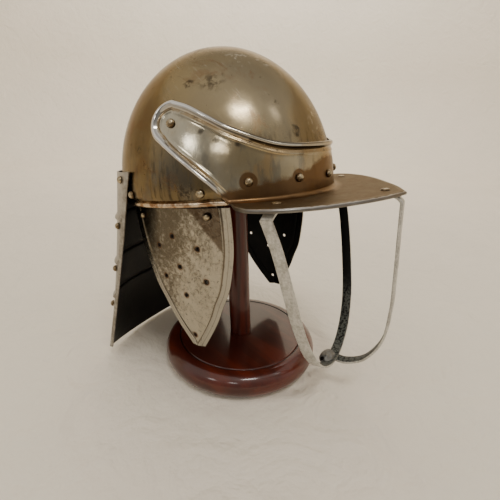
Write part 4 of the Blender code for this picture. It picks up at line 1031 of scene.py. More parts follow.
@dataclass
class Skull:
    """The spun bowl with its pinched wall and rolled rim."""

    form: SkullForm = SKULL
    segments: int = 192
    rings: int = 96
    # Rows: share of the roll's stand-out, share of its height down from its top
    wall: Table = ((0.02, 0.10), (0.12, 0.32), (0.38, 0.60), (0.72, 0.82), (0.94, 0.95), (1.0, 1.0))
    roll_steps: int = 9

    def steps(self) -> list[tuple[float, float]]:
        """(height, lift) of each ring below the widest one."""
        top = self.form.wall_depth - self.form.roll_height
        steps = [(-down * top, -inward * self.form.pinch) for inward, down in self.wall]
        for turn in even(self.roll_steps, 0.0, math.pi)[1:]:
            height = -top - self.form.roll_height * (1 - math.cos(turn)) / 2
            steps.append((height, -self.form.pinch + self.form.roll_proud * math.sin(turn)))
        return steps

    def build(self) -> bpy.types.Object:
        """Bisects a globe, draws its edge down ring by ring and gives it its wall."""
        bpy.ops.object.select_all(action="DESELECT")
        bpy.ops.mesh.primitive_uv_sphere_add(segments=self.segments, ring_count=self.rings, radius=1.0)
        obj = bpy.context.object
        obj.name = obj.data.name = "skull_bowl"
        form = self.form
        with Editing(obj):
            bpy.ops.transform.resize(value=(form.width / 2, form.length / 2, form.dome))
            bpy.ops.mesh.bisect(plane_co=(0, 0, 0), plane_no=(0, 0, 1), clear_inner=True)
            select_where(obj, lambda co: abs(co.z) < 1e-5)
            height, lift = 0.0, 0.0
            for low, out in self.steps():
                bpy.ops.mesh.extrude_region_move(TRANSFORM_OT_translate={"value": (0, 0, low - height)})
                across = (form.width / 2 + out) / (form.width / 2 + lift)
                along = (form.length / 2 + out) / (form.length / 2 + lift)
                bpy.ops.transform.resize(value=(across, along, 1.0), center_override=(0, 0, low))
                height, lift = low, out
            bpy.ops.mesh.select_all(action="SELECT")
            bpy.ops.mesh.normals_make_consistent(inside=False)
        face_away_from(obj, Vector((0.0, 0.0, -form.dome)))
        return obj

    def finish(self, steel: bpy.types.Material, inside: bpy.types.Material) -> None:
        """Builds, dresses and places it.

        Args:
            steel: the outside's finish.
            inside: the inside's finish.
        """
        obj = self.build()
        dress(obj, steel, inside)
        give_wall(obj, self.form.sheet * 0.85, inner=1)
        SEAT.place(obj)
        shade(obj)
        deliver(obj, Slot.SKULL, "skull")


@dataclass
class Peak:
    """The brow band, its two arms and the brim: one plate, beaded along its upper edge."""

    skull: SkullForm = SKULL
    brim: BrimForm = BRIM
    arm_angle: float = math.radians(80.0)
    arm_height: float = 0.0541
    arm_radius: float = 0.0185
    front_height: float = 0.0305
    lower_bulge: float = 0.0022
    lower_sweep: float = 0.62
    spine_settles: float = 0.75
    bead_height: float = 0.0030
    bead_crest: float = 0.0030
    trough: float = 0.0068
    ridge: float = 0.0090
    ridge_height: float = 0.0007
    border: float = 0.0108
    crease_columns: int = 54
    arm_columns: int = 26
    end_columns: int = 34
    # Rows: share of the angle to the arm's rivet, share of the rise from the brow to the arm's top
    top: Table = (
        (0.00, 0.000), (0.19, 0.012), (0.35, 0.050), (0.48, 0.153),
        (0.66, 0.422), (0.78, 0.662), (0.89, 0.870), (1.00, 1.000),
    )
    # Millimetres in from the edge at which the border's section is drawn
    section: Sequence[float] = (
        0.0, 0.2, 0.5, 0.9, 1.4, 1.9, 2.4, 2.8, 3.2, 3.7, 4.2, 4.7, 5.2, 5.7, 6.2, 6.8, 7.4, 8.0,
        8.4, 8.8, 9.2, 9.6, 10.2, 10.8,
    )
    field_rows: int = 6
    brim_rows: int = 14
    roll_rows: int = 12

    def upright(self) -> float:
        """How much of a step up the slope at the arm's rivet is a step in height."""
        return math.sqrt(1.0 - self.skull.normal(self.arm_angle, self.arm_height).z ** 2)

    def top_edge(self, share: float) -> Vector:
        """(angle, height) on the upper edge, from the front to over the arm's rivet."""
        rise = self.arm_height + self.arm_radius * self.upright() - self.front_height
        return Vector((share * self.arm_angle, self.front_height + rise * height_at(self.top, share)))

    def arm_end(self, turn: float) -> Vector:
        """(angle, height) on the arm's round end, a quarter turn being its top."""
        up = self.arm_radius * math.sin(turn) * self.upright()
        ring = self.skull.width / 2 * self.skull.ring(self.arm_height + up)
        return Vector((self.arm_angle + self.arm_radius * math.cos(turn) / ring, self.arm_height + up))

    def lower_turn(self) -> float:
        """Where the arm's lower edge runs into its round end."""
        run = (self.arm_angle - self.brim.corner_angle) * self.skull.width / 2
        return -math.pi / 2 + math.atan2(self.arm_height + self.brim.level, run) * self.lower_sweep

    def low_edge(self, share: float) -> tuple[Vector, float]:
        """Finds a point of the low edge: along the crease, then along the arm's lower edge.

        Args:
            share: from 0 at the front to 1 where the arm's round end starts.

        Returns:
            (angle, height), and how much of the bead the edge has there.
        """
        corner = self.crease_columns / (self.crease_columns + self.arm_columns)
        if share <= corner:
            angle = share / corner * self.brim.corner_angle
            return Vector((angle, self.brim.crease(angle))), 0.0
        on = (share - corner) / (1 - corner)
        start = Vector((self.brim.corner_angle, self.brim.crease(self.brim.corner_angle)))
        bulge = Vector((0.0, self.lower_bulge * math.sin(math.pi * on)))
        return start.lerp(self.arm_end(self.lower_turn()), on) + bulge, ease(on, 0.0, 0.16)

    def spine(self, share: float) -> Vector:
        """(angle, height) on the line midway between the edges, ending at the arm's rivet."""
        settle = max(0.0, (share - self.spine_settles) / (1 - self.spine_settles))
        middle = self.top_edge(share).lerp(self.low_edge(share)[0], 0.5)
        return middle.lerp(Vector((self.arm_angle, self.arm_height)), settle**2)

    def bead(self, inward: float) -> float:
        """How far the border stands up at a distance in from the edge."""
        if inward < self.bead_crest:
            return self.bead_height * math.sqrt(1 - (1 - inward / self.bead_crest) ** 2)
        fall = self.bead_height * (1 - ease(inward, self.bead_crest, self.trough))
        up = ease(inward, self.trough - 0.0006, self.ridge)
        return fall + self.ridge_height * up * (1 - ease(inward, self.ridge, self.border))

    def column(self, edge: Vector, middle: Vector, beaded: float) -> tuple[Row, list[float]]:
        """Draws one section of the band from its edge in to its spine.

        Args:
            edge: (angle, height) of the edge.
            middle: (angle, height) of the spine.
            beaded: how much of the bead the edge has.

        Returns:
            The points, and each one's distance from the beaded edge.
        """
        span = (self.skull.place(*middle) - self.skull.place(*edge)).length
        inwards = [mm / 1000 for mm in self.section]
        last = inwards[-1]
        inwards += [last + (span - last) * part for part in even(self.field_rows)[1:]]
        points, marks = [], []
        for inward in inwards:
            angle, height = edge.lerp(middle, min(inward / span, 1.0))
            fillet = self.brim.fillet * max(0.0, 1 - inward / self.brim.fillet) ** 2
            lift = self.brim.band_lift + beaded * self.bead(inward) + (1 - beaded) * fillet
            points.append(self.skull.place(angle, height, lift))
            marks.append(inward + (1 - beaded) * 0.03)
        return points, marks

    def band(self) -> bpy.types.Object:
        """Lays the right half of the band and its arm."""
        tops = even(self.crease_columns + self.arm_columns)
        columns = [self.column(self.top_edge(s), self.spine(s), 1.0) for s in tops]
        last = self.spine(1.0)
        turns = even(self.end_columns, math.pi / 2, self.lower_turn())[1:-1]
        columns += [self.column(self.arm_end(turn), last, 1.0) for turn in turns]
        for share in reversed(tops):
            edge, beaded = self.low_edge(share)
            columns.append(self.column(edge, self.spine(share), beaded))
        obj = laid_sheet("peak_plate", [points for points, _ in columns])
        mark(obj, "from_edge", [marks for _, marks in columns])
        mark(obj, "on_brim", [[0.0] * len(marks) for _, marks in columns])
        return obj

    def brim_sheet(self) -> bpy.types.Object:
        """Lays the right half of the brim, from the crease out to its rolled edge."""
        columns, marks = [], []
        for share in even(self.crease_columns):
            angle = share * self.brim.corner_angle
            level = self.brim.crease(angle)
            crease = self.skull.place(angle, level, self.brim.band_lift + self.brim.fillet)
            edge = self.brim.outer(share) if share < 1 else crease.copy()
            outward = edge - crease
            width = outward.length
            unit = outward / width if width else outward
            size = self.brim.edge * min(1.0, width / (4 * self.brim.edge))
            inner = max(width - self.brim.roll[0][0] * size, 0.0)
            column = [crease + unit * inner * part for part in even(self.brim_rows)[:-1]]
            distances = [width - inner * part for part in even(self.brim_rows)[:-1]]
            for part in even(self.roll_rows):
                inward, down = smooth_through(self.brim.roll, part)
                column.append(edge - unit * inward * size - Vector((0, 0, down * size)))
                distances.append(inward * size)
            columns.append(column)
            marks.append(distances)
        obj = laid_sheet("brim_plate", columns)
        mark(obj, "from_edge", marks)
        mark(obj, "on_brim", [[ease(k, 0, 2) for k in range(len(row))] for row in marks])
        return obj

    def finish(self, steel: bpy.types.Material, inside: bpy.types.Material) -> None:
        """Builds, dresses and places it.

        Args:
            steel: the outside's finish.
            inside: the inside's finish.
        """
        band, brim = self.band(), self.brim_sheet()
        pick_only(band, brim)
        bpy.ops.object.join()
        seal(band)
        face_away_from(band, Vector((0.0, 0.0, -self.skull.dome)))
        dress(band, steel, inside)
        apply(band, "MIRROR", merge_threshold=0.00005)
        give_wall(band, self.skull.sheet, inner=1)
        SEAT.place(band)
        shade(band, 44.0)
        deliver(band, Slot.BRIGHT, "peak")


@dataclass
class NeckGuard:
    """The flared plate down the neck, with three raised ridges and turned side edges."""

    skull: SkullForm = SKULL
    top_level: float = 0.0205
    height: float = 0.2035
    top_width: float = 0.2052
    bottom_width: float = 0.1872
    top_front: float = 0.0385
    bottom_front: float = 0.1340
    edge_bulge: float = 0.0018
    bottom_back: float = 0.1530
    bottom_arch: float = 0.0060
    stand_off: float = 0.0013
    wrap: float = math.radians(71.0)
    flange: float = 0.0050
    ridge_height: float = 0.0020
    ridge_length: float = 0.0070
    ridges: Sequence[float] = (0.226, 0.455, 0.655)
    rivets: Sequence[float] = (0.034, 0.250, 0.479, 0.696)
    columns: int = 96
    # Rows: share of the ridge's length above its foot, share of its height
    ridge: Table = (
        (1.10, 0.0), (1.0, 0.03), (0.88, 0.14), (0.74, 0.36), (0.58, 0.68), (0.44, 0.90),
        (0.30, 1.0), (0.20, 0.96), (0.12, 0.72), (0.05, 0.30), (0.0, 0.06), (-0.05, 0.0),
    )

    def point(self, around: float, down: float) -> Vector:
        """A point of the outside: around -1 at the right side to 1 at the left."""
        half = (self.top_width + (self.bottom_width - self.top_width) * down) / 2
        front = self.top_front + (self.bottom_front - self.top_front) * down
        front -= self.edge_bulge * math.sin(math.pi * down)
        top_back = self.skull.length / 2 + self.stand_off + self.skull.sheet
        back = top_back + (self.bottom_back - top_back) * down
        turn = around * self.wrap
        share = (math.cos(turn) - math.cos(self.wrap)) / (1 - math.cos(self.wrap))
        level = self.top_level - self.height * down - self.bottom_arch * down * share
        x = half * math.sin(turn) / math.sin(self.wrap)
        return Vector((x, front + (back - front) * share, level))

    def normal(self, around: float, down: float) -> Vector:
        """The way out of the plate."""
        step = 0.001
        sideways = self.point(around + step, down) - self.point(around - step, down)
        upwards = self.point(around, down - step) - self.point(around, down + step)
        return upwards.cross(sideways).normalized()

    def rows(self) -> list[tuple[float, float]]:
        """(share down, lift) of each row, closer together over the ridges."""
        length = self.ridge_length / self.height
        rows, last = [(0.0, 0.0)], 0.0
        for ridge in self.ridges:
            start = ridge - length * self.ridge[0][0]
            rows += [(down, 0.0) for down in even(8, last, start)[1:-1]]
            rows += [(ridge - length * up, self.ridge_height * rise) for up, rise in self.ridge]
            last = ridge - length * self.ridge[-1][0]
        return rows + [(down, 0.0) for down in even(14, last, 1.0)[1:]]

    def finish(self, steel: bpy.types.Material, paint: bpy.types.Material) -> None:
        """Builds, dresses and places it.

        Args:
            steel: the outside's finish.
            paint: the inside's finish.
        """
        rows = []
        for down, lift in self.rows():
            row = [self.point(a, down) + lift * self.normal(a, down) for a in even(self.columns, -1.0, 1.0)]
            for side, at in ((-1.0, 0), (1.0, len(row))):
                corner = self.point(side, down)
                turned = [
                    corner + Vector((side * 0.0003 * math.sin(math.pi * part), -self.flange * part, 0.0))
                    for part in (0.12, 0.3, 0.6, 1.0)
                ]
                row[at:at] = turned[::-1] if side < 0 else turned
            rows.append(row)
        obj = laid_sheet("neck_guard_plate", rows)
        seal(obj)
        face_away_from(obj, Vector((0.0, 0.0, -self.height / 2)))
        dress(obj, steel, paint)
        give_wall(obj, self.skull.sheet, inner=1)
        SEAT.place(obj)
        shade(obj, 34.0)
        deliver(obj, Slot.GUARD, "neck_guard")


@dataclass
class Cheekpiece:
    """A pointed plate with a turned flange and a field pierced with breathing holes."""

    side: Side
    spread: float = 0.1690
    top_level: float = 0.0150
    length: float = 0.1390
    width: float = 0.1130
    set_back: float = 0.0045
    lean_back: float = 0.0060
    dish: float = 0.0055
    flange: float = 0.0072
    ridge_width: float = 0.0030
    ridge_height: float = 0.0011
    field_rise: float = 0.0012
    sheet: float = 0.0014
    hole: float = 0.0038
    levels: int = 110
    field_columns: int = 20
    # Rows: share of the length down from the top, share of half the width
    outline: Table = (
        (0.00, 1.000), (0.14, 0.990), (0.30, 0.950), (0.48, 0.840), (0.58, 0.755),
        (0.67, 0.635), (0.78, 0.500), (0.88, 0.345), (1.00, 0.135),
    )
    # Rows: share of the length down from the top, share of half the width back from the axis
    holes: Table = (
        (0.186, 0.138), (0.261, 0.502), (0.265, -0.343), (0.402, 0.092),
        (0.486, 0.480), (0.491, -0.406), (0.608, 0.058), (0.914, 0.028),
    )

    def place(self, down: float, along: float, lift: float = 0.0) -> Vector:
        """A point of the right plate's outside: share down, and metres back from its axis."""
        x = -self.spread / 2 + self.dish * (along / (self.width / 2)) ** 2 - lift
        y = self.set_back - self.lean_back * down + along
        return Vector((x, y, -self.top_level - self.length * down))

    def row(self, down: float) -> list[tuple[float, float]]:
        """(metres back from the axis, lift) across one level."""
        half = self.width / 2 * height_at(self.outline, down)
        flange = min(self.flange, 0.45 * half)
        ridge = min(self.ridge_width, 0.25 * half)
        inner = half - flange - ridge
        side = [(half - flange * part, 0.0) for part in (0.0, 0.08, 0.3, 0.6, 0.9, 1.0)]
        for part in (0.10, 0.22, 0.36, 0.50, 0.64, 0.78, 0.90, 1.0):
            rise = self.ridge_height * math.sin(math.pi * part) ** 1.4
            side.append((half - flange - ridge * part, rise + self.field_rise / 3 * ease(part, 0.4, 1.0)))
        for part in even(self.field_columns)[1:]:
            rise = self.field_rise * (1 / 3 + 2 / 3 * ease(part, 0.0, 0.7))
            side.append((inner * (1 - part), rise))
        return side + [(-along, lift) for along, lift in side[-2::-1]]

    def sheet_of(self) -> bpy.types.Object:
        """Lays the plate and marks each point's distance to the edge and to the nearest hole."""
        shares = [1 - (1 - k) ** 1.15 for k in even(self.levels)]
        rows, edges, near = [], [], []
        spots = [self.place(down, back * self.width / 2) for down, back in self.holes]
        for down in shares:
            spans = self.row(down)
            row = [self.place(down, along, lift) for along, lift in spans]
            half = spans[0][0]
            # The flange follows the slope of the outline, so its width is taken square to it.
            slope = height_at(self.outline, min(down + 0.01, 1)) - height_at(self.outline, max(down - 0.01, 0))
            lean = math.cos(math.atan(abs(slope) * self.width / 2 / (0.02 * self.length)))
            edges.append([(half - abs(along)) * lean for along, _ in spans])
            near.append([min((point - spot).length for spot in spots) for point in row])
            rows.append(row)
        obj = laid_sheet(f"cheekpiece_{self.side.name.lower()}", rows)
        mark(obj, "from_edge", edges)
        mark(obj, "to_hole", near)
        return obj

    def pierce(self, obj: bpy.types.Object) -> None:
        """Drills the breathing holes through the plate."""
        drills = []
        for down, back in self.holes:
            bpy.ops.object.select_all(action="DESELECT")
            bpy.ops.mesh.primitive_cylinder_add(
                vertices=28, radius=self.hole / 2, depth=0.012, rotation=(0.0, math.pi / 2, 0.0),
                location=self.place(down, back * self.width / 2),
            )
            drills.append(bpy.context.object)
        pick_only(*drills)
        bpy.ops.object.join()
        bpy.ops.object.transform_apply()
        apply(obj, "BOOLEAN", object=drills[0], operation="DIFFERENCE", solver="EXACT")
        bpy.data.objects.remove(drills[0], do_unlink=True)

    def finish(self, steel: bpy.types.Material, inside: bpy.types.Material) -> None:
        """Builds, dresses and places it.

        Args:
            steel: the outside's finish.
            inside: the inside's finish.
        """
        obj = self.sheet_of()
        seal(obj)
        face_away_from(obj, Vector((0.0, 0.0, -self.length / 2)))
        dress(obj, steel, inside)
        give_wall(obj, self.sheet, inner=1)
        self.pierce(obj)
        if self.side is Side.LEFT:
            with Editing(obj):
                bpy.ops.transform.mirror(constraint_axis=(True, False, False), center_override=(0, 0, 0))
                bpy.ops.mesh.flip_normals()
        SEAT.place(obj)
        shade(obj, 40.0)
        deliver(obj, Slot.BRIGHT, f"cheek_{self.side.name.lower()}")


@dataclass
class FaceGuard:
    """Three flat bars welded at the chin: one bent right round from side to side, one in front."""

    brim: BrimForm = BRIM
    width: float = 0.0105
    thickness: float = 0.0025
    sheet: float = 0.0014
    flange: float = 0.0120
    side_shares: tuple[float, float] = (0.50, 0.45)
    centre_shares: tuple[float, float] = (0.50, 0.75)
    rivet_spread: float = 0.1670
    rivet_forward: float = 0.0980
    tip_rivet_back: float = 0.0170
    side_spread: float = 0.1830
    side_forward: float = 0.0925
    side_bend: float = 0.0214
    chin_forward: float = 0.1110
    chin_level: float = 0.1905
    centre_forward: float = 0.1746
    centre_bend: float = 0.0212
    lump: tuple[float, float, float] = (0.0240, 0.0150, 0.0130)
    lump_offset: tuple[float, float, float] = (-0.0060, 0.0045, 0.0010)
    bend_rises: tuple[float, float] = (0.0014, -0.0012)
    steps: int = 64
    # Rows: share of the spread, share of the way forward to the chin, share of the drop to the chin
    side_bar: Table = (
        (1.00, 0.00, 0.00), (0.96, 0.33, 0.16), (0.90, 0.55, 0.36), (0.83, 0.70, 0.54),
        (0.75, 0.82, 0.68), (0.64, 0.90, 0.80), (0.46, 0.96, 0.91), (0.23, 0.99, 0.978),
        (0.00, 1.00, 1.00),
    )
    # Rows: share of the way forward from the chin to the bend, share of the drop to the chin
    centre_bar: Table = (
        (1.00, 0.00), (0.975, 0.16), (0.935, 0.435), (0.895, 0.620), (0.790, 0.810),
        (0.540, 0.950), (0.240, 1.005), (0.00, 1.00),
    )

    def under_brim(self, x: float, y: float) -> float:
        """The level of a flange's middle, just under the brim."""
        return self.brim.height(x, y) - self.sheet / math.cos(self.brim.drop) - 0.0006 - self.thickness / 2

    def bent(self, flange: Row, bar: Row) -> Row:
        """Joins a flange to its bar with a small round bend.

        Args:
            flange: the flange's two ends.
            bar: the bar's points, from the bend on.

        Returns:
            The whole path.
        """
        start, corner = flange
        first = corner.lerp(start, 0.30)
        second = bar[1]
        bend = [
            first.lerp(corner.lerp(bar[0], 0.5), t).lerp(corner.lerp(bar[0], 0.5).lerp(second, t), t)
            for t in even(8)
        ]
        return [start.lerp(first, t) for t in even(3)[:-1]] + bend + bar[2:]

    def side_path(self) -> Row:
        """The right half of the side bar, from its flange to the chin."""
        seat, y = self.rivet_spread / 2, -self.rivet_forward
        inner, outer = self.side_shares
        ends = (-seat + self.flange * inner, -seat - self.flange * outer)
        flange = [Vector((x, y, self.under_brim(x, y))) for x in ends]
        bar = [
            Vector((-self.side_spread / 2, -self.side_forward, rise - self.side_bend))
            for rise in self.bend_rises
        ]
        for share in even(self.steps):
            out, forward, down = smooth_through(self.side_bar, share)
            bar.append(
                Vector(
                    (
                        -out * self.side_spread / 2,
                        -self.side_forward - forward * (self.chin_forward - self.side_forward),
                        -self.side_bend - down * (self.chin_level - self.side_bend),
                    )
                )
            )
        return self.bent(flange, bar)

    def centre_path(self) -> Row:
        """The centre bar, from its flange under the brim's tip to the chin."""
        y = -self.brim.tip() + self.tip_rivet_back
        behind, ahead = self.centre_shares
        ends = (y + self.flange * behind, y - self.flange * ahead)
        flange = [Vector((0.0, end, self.under_brim(0.0, end))) for end in ends]
        bar = []
        for share in even(self.steps):
            forward, down = smooth_through(self.centre_bar, share)
            y = -self.chin_forward - forward * (self.centre_forward - self.chin_forward)
            bar.append(Vector((0.0, y, -self.side_bend - down * (self.chin_level - self.centre_bend))))
        return self.bent(flange, bar)

    def bar(self, name: str, path: Row, across: Vector) -> bpy.types.Object:
        """Lays a flat bar with softened edges along a path.

        Args:
            name: the piece's name.
            path: the points of its middle.
            across: the way across the bar.

        Returns:
            The bar, a closed solid.
        """
        corner = 0.0006
        section = []
        for x, y in ((1, 1), (-1, 1), (-1, -1), (1, -1)):
            for t in (0.0, 0.5, 1.0) if x * y > 0 else (1.0, 0.5, 0.0):
                turn = t * math.pi / 2
                section.append(
                    (
                        x * (self.width / 2 - corner + corner * math.cos(turn)),
                        y * (self.thickness / 2 - corner + corner * math.sin(turn)),
                    )
                )
        rows = []
        for i, point in enumerate(path):
            ahead = path[min(i + 1, len(path) - 1)] - path[max(i - 1, 0)]
            thick = ahead.cross(across).normalized()
            # A hand-filed bar isn't quite even along its length.
            wide = 1 + 0.03 * noise.noise(point * 60)
            rows.append([point + across * u * wide + thick * v for u, v in section])
        obj = laid_sheet(name, rows, closed=True)
        seal(obj, cap=True)
        return obj

    def blacken_inside(self, obj: bpy.types.Object) -> None:
        """Gives the second slot's finish to the faces that look in towards the wearer."""
        middle = Vector((0.0, -self.side_forward, -self.chin_level / 2))
        for face in obj.data.polygons:
            inwards = (middle - face.center).normalized()
            face.material_index = int(face.normal.dot(inwards) > 0.5)

    def boss(self) -> bpy.types.Object:
        """The rough lump of the weld at the chin."""
        bpy.ops.object.select_all(action="DESELECT")
        bpy.ops.mesh.primitive_ico_sphere_add(subdivisions=5, radius=0.5)
        obj = bpy.context.object
        obj.name = obj.data.name = "chin_weld"
        centre = Vector((0.0, -self.chin_forward, -self.chin_level)) + Vector(self.lump_offset)
        for vertex in obj.data.vertices:
            way = vertex.co.normalized()
            swell = 1 + 0.16 * noise.noise(way * 2.3 + Vector((4.0, 1.0, 2.0))) + 0.05 * noise.noise(way * 9.0)
            vertex.co = centre + Vector(c * size * swell * 0.97 for c, size in zip(vertex.co, self.lump))
        return obj

    def finish(self, steel: bpy.types.Material, weld: bpy.types.Material,
               black: bpy.types.Material) -> None:
        """Builds, dresses and places the bars and the weld.

        Args:
            steel: the bars' finish.
            weld: the weld's finish.
            black: the finish of the bars' inner faces.
        """
        half = self.side_path()
        path = half + [Vector((-p.x, p.y, p.z)) for p in reversed(half[:-1])]
        side = self.bar("face_guard_side_bar", path, Vector((0.0, 1.0, 0.0)))
        centre = self.bar("face_guard_centre_bar", self.centre_path(), Vector((1.0, 0.0, 0.0)))
        boss = self.boss()
        for obj, material in ((side, steel), (centre, steel), (boss, weld)):
            dress(obj, material, black)
            if obj is not boss:
                self.blacken_inside(obj)
            SEAT.place(obj)
            shade(obj, 50.0)
            deliver(obj, Slot.BARS, "face_guard")


class RivetKind(Enum):
    """The turned patterns: head's diameter and rise."""

    DOME = (0.0074, 0.0032)
    GUARD = (0.0068, 0.0034)
    BRIM = (0.0080, 0.0014)


@dataclass
class Rivets:
    """Every rivet: one turned pattern of each kind, copied to each seat."""

    skull: SkullForm = SKULL
    brim: BrimForm = BRIM
    guard: NeckGuard = field(default_factory=NeckGuard)
    cheek: Cheekpiece = field(default_factory=lambda: Cheekpiece(Side.RIGHT))
    bars: FaceGuard = field(default_factory=FaceGuard)
    gap: float = 0.0003
    shank: float = 0.0032
    tail: float = 0.0052
    tail_height: float = 0.0011
    tail_clearance: float = 0.0009
    brow_step: float = math.radians(24.0)
    brow_height: float = 0.0021
    brow_rise: float = 0.0019
    inset: float = 0.0080
    strap_angles: tuple[float, float] = (math.radians(68.6), math.radians(110.2))
    cheek_backs: tuple[float, float] = (-0.0355, 0.0438)
    cheek_down: float = 0.0070
    sides: int = 32

    def profile(self, kind: RivetKind, grip: float) -> list[tuple[float, float]]:
        """The turned section of a rivet, from its tail's middle round to the top of its dome."""
        head, rise = kind.value
        low = -grip - self.tail_clearance
        tail, shank = self.tail / 2, self.shank / 2
        soft = self.tail_height * 0.35
        points = [
            (tail * 0.70, low - self.tail_height), (tail * 0.93, low - self.tail_height + soft * 0.4),
            (tail, low - self.tail_height + soft), (tail, low), (shank, low), (shank, self.gap),
            (head / 2 * 0.96, self.gap),
        ]
        for turn in even(9, 0.06, math.pi / 2 - 0.04):
            points.append((head / 2 * math.cos(turn), self.gap + rise * math.sin(turn) ** 0.92))
        return points

    def seats(self) -> list[tuple[str, RivetKind, Vector, Vector, float, bool]]:
        """(name, kind, place, way out, grip, whether both sides have one) of each rivet."""
        skull, brim, sheet = self.skull, self.brim, self.skull.sheet
        lift = brim.band_lift
        seats = []
        for k, name in enumerate(("centre", "{}_1", "{}_2")):
            angle, height = k * self.brow_step, self.brow_height + k * self.brow_rise
            place, out = skull.place(angle, height, lift), skull.normal(angle, height)
            seats.append((f"rivet_brow_{name}", RivetKind.DOME, place, out, lift + sheet, k > 0))
        arm = (math.radians(80.0), 0.0541)
        seats.append(("rivet_arm_{}", RivetKind.DOME, skull.place(*arm, lift), skull.normal(*arm), lift + sheet, True))
        up = Vector((0.0, -math.sin(brim.drop), math.cos(brim.drop)))
        grip = sheet + 2 * self.gap + self.bars.thickness
        side = (-self.bars.rivet_spread / 2, -self.bars.rivet_forward)
        tip = (0.0, -brim.tip() + self.bars.tip_rivet_back)
        seats.append(("rivet_brim_{}", RivetKind.BRIM, Vector((*side, brim.height(*side))), up, grip, True))
        seats.append(("rivet_brim_tip", RivetKind.BRIM, Vector((*tip, brim.height(*tip))), up, grip, False))
        for k, down in enumerate(self.guard.rivets):
            half = (self.guard.top_width + (self.guard.bottom_width - self.guard.top_width) * down) / 2
            around = -(1 - self.inset / (half * self.guard.wrap))
            place, out = self.guard.point(around, down), self.guard.normal(around, down)
            grip = sheet
            if k == 0:
                ring = math.hypot(2 * place.x / skull.width, 2 * place.y / skull.length)
                grip = place.xy.length * (1 - 1 / ring) + 2 * sheet + 0.0002
            seats.append((f"rivet_neck_{{}}_{k + 1}", RivetKind.GUARD, place, out, grip, True))
        down = self.guard.rivets[0]
        back, out = self.guard.point(0.0, down), self.guard.normal(0.0, down)
        seats.append(("rivet_neck_back", RivetKind.DOME, back, out, back.y - skull.length / 2 + 2 * sheet, False))
        for name, angle, along in zip(("front", "back"), self.strap_angles, self.cheek_backs):
            out = skull.normal(angle, 0.0)
            grip = skull.pinch + sheet + 0.0005 + 0.0022
            seats.append((f"rivet_rim_{{}}_{name}", RivetKind.DOME, skull.place(angle, 0.0), out, grip, True))
            place = self.cheek.place(self.cheek_down / self.cheek.length, along, self.cheek.field_rise)
            grip = sheet + 0.0022 + self.cheek.field_rise + 4 * self.gap
            seats.append(
                (f"rivet_cheek_{{}}_{name}", RivetKind.DOME, place, Vector((-1.0, 0.0, 0.0)), grip, True)
            )
        return seats

    def finish(self, nickel: bpy.types.Material) -> None:
        """Turns, copies, dresses and places every rivet.

        Args:
            nickel: the rivets' finish.
        """
        patterns: dict[tuple[RivetKind, float], bpy.types.Object] = {}
        for name, kind, place, out, grip, paired in self.seats():
            key = (kind, round(grip, 6))
            if key not in patterns:
                pattern = raised("rivet_pattern", self.profile(kind, grip), self.sides)
                foot = pattern.data.attributes.new("foot", "FLOAT", "POINT")
                rise = kind.value[1]
                low = [1 - min(max((v.co.z - self.gap) / rise, 0.0), 1.0) for v in pattern.data.vertices]
                foot.data.foreach_set("value", low)
                dress(pattern, nickel)
                shade(pattern, 42.0)
                patterns[key] = pattern
            for side in Side if paired else (Side.RIGHT,):
                flip = -side.value
                seat = Vector((place.x * flip, place.y, place.z))
                way = Vector((out.x * flip, out.y, out.z))
                rivet = patterns[key].copy()
                rivet.data = patterns[key].data.copy()
                node = name.format(side.name.lower())
                rivet.name = rivet.data.name = node.replace("rivet", "turned_rivet")
                bpy.context.scene.collection.objects.link(rivet)
                turn = way.to_track_quat("Z", "Y").to_matrix().to_4x4()
                rivet.data.transform(Matrix.Translation(seat) @ turn)
                SEAT.place(rivet)
                deliver(rivet, Slot.RIVETS, node)
        for pattern in patterns.values():
            bpy.data.objects.remove(pattern, do_unlink=True)


@dataclass
class Stand:
    """The turned base with its leaning post; the hidden head keeps its own solid."""

    base_diameter: float = 0.180
    base_height: float = 0.029
    groove_radius: float = 0.0735
    groove_width: float = 0.0020
    groove_depth: float = 0.0012
    post_diameter: float = 0.0248
    lean: float = math.radians(4.1)
    sides: int = 160

    def base(self) -> bpy.types.Object:
        """Turns the base: a bullnose edge and one groove round its top."""
        nose = self.base_height / 2
        edge = self.base_diameter / 2 - nose
        turns = even(18, -math.pi / 2, math.pi / 2)
        profile = [(0.004, 0.0)]
        profile += [(edge + nose * math.cos(turn), nose + nose * math.sin(turn)) for turn in turns]
        for part in (0.0, 0.15, 0.35, 0.5, 0.65, 0.85, 1.0):
            sunk = self.groove_depth * math.sin(math.pi * part)
            profile.append((self.groove_radius - self.groove_width * part, self.base_height - sunk))
        profile.append((0.02, self.base_height))
        return raised("stand_base_turning", profile, self.sides)

    def post(self) -> bpy.types.Object:
        """Turns the post and leans it back."""
        low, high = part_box("stand_post")
        radius = self.post_diameter / 2
        span = high.z - low.z if isinstance(high, Vector) else high[2] - low[2]
        foot = low[2]
        obj = raised(
            "stand_post_turning",
            [(radius * 0.96, 0.0), (radius, 0.0004), (radius, span / 2), (radius, span)],
            96,
        )
        with Editing(obj):
            bpy.ops.transform.translate(value=(0.0, 0.0, foot))
            for part in (0.0004, span / 2, span):
                select_where(obj, lambda co, z=foot + part: abs(co.z - z) < 1e-5)
                bpy.ops.transform.translate(value=(0.0, (part + foot - self.base_height) * math.tan(self.lean), 0.0))
        return obj

    def finish(self, across: bpy.types.Material, upright: bpy.types.Material) -> None:
        """Builds and dresses the stand.

        Args:
            across: the base's wood, its grain lying flat.
            upright: the post's wood, its grain standing.
        """
        for obj, wood, node in (
            (self.base(), across, "stand_base"),
            (self.post(), upright, "stand_post"),
        ):
            dress(obj, wood)
            shade(obj, 35.0)
            deliver(obj, Slot.WOOD, node)


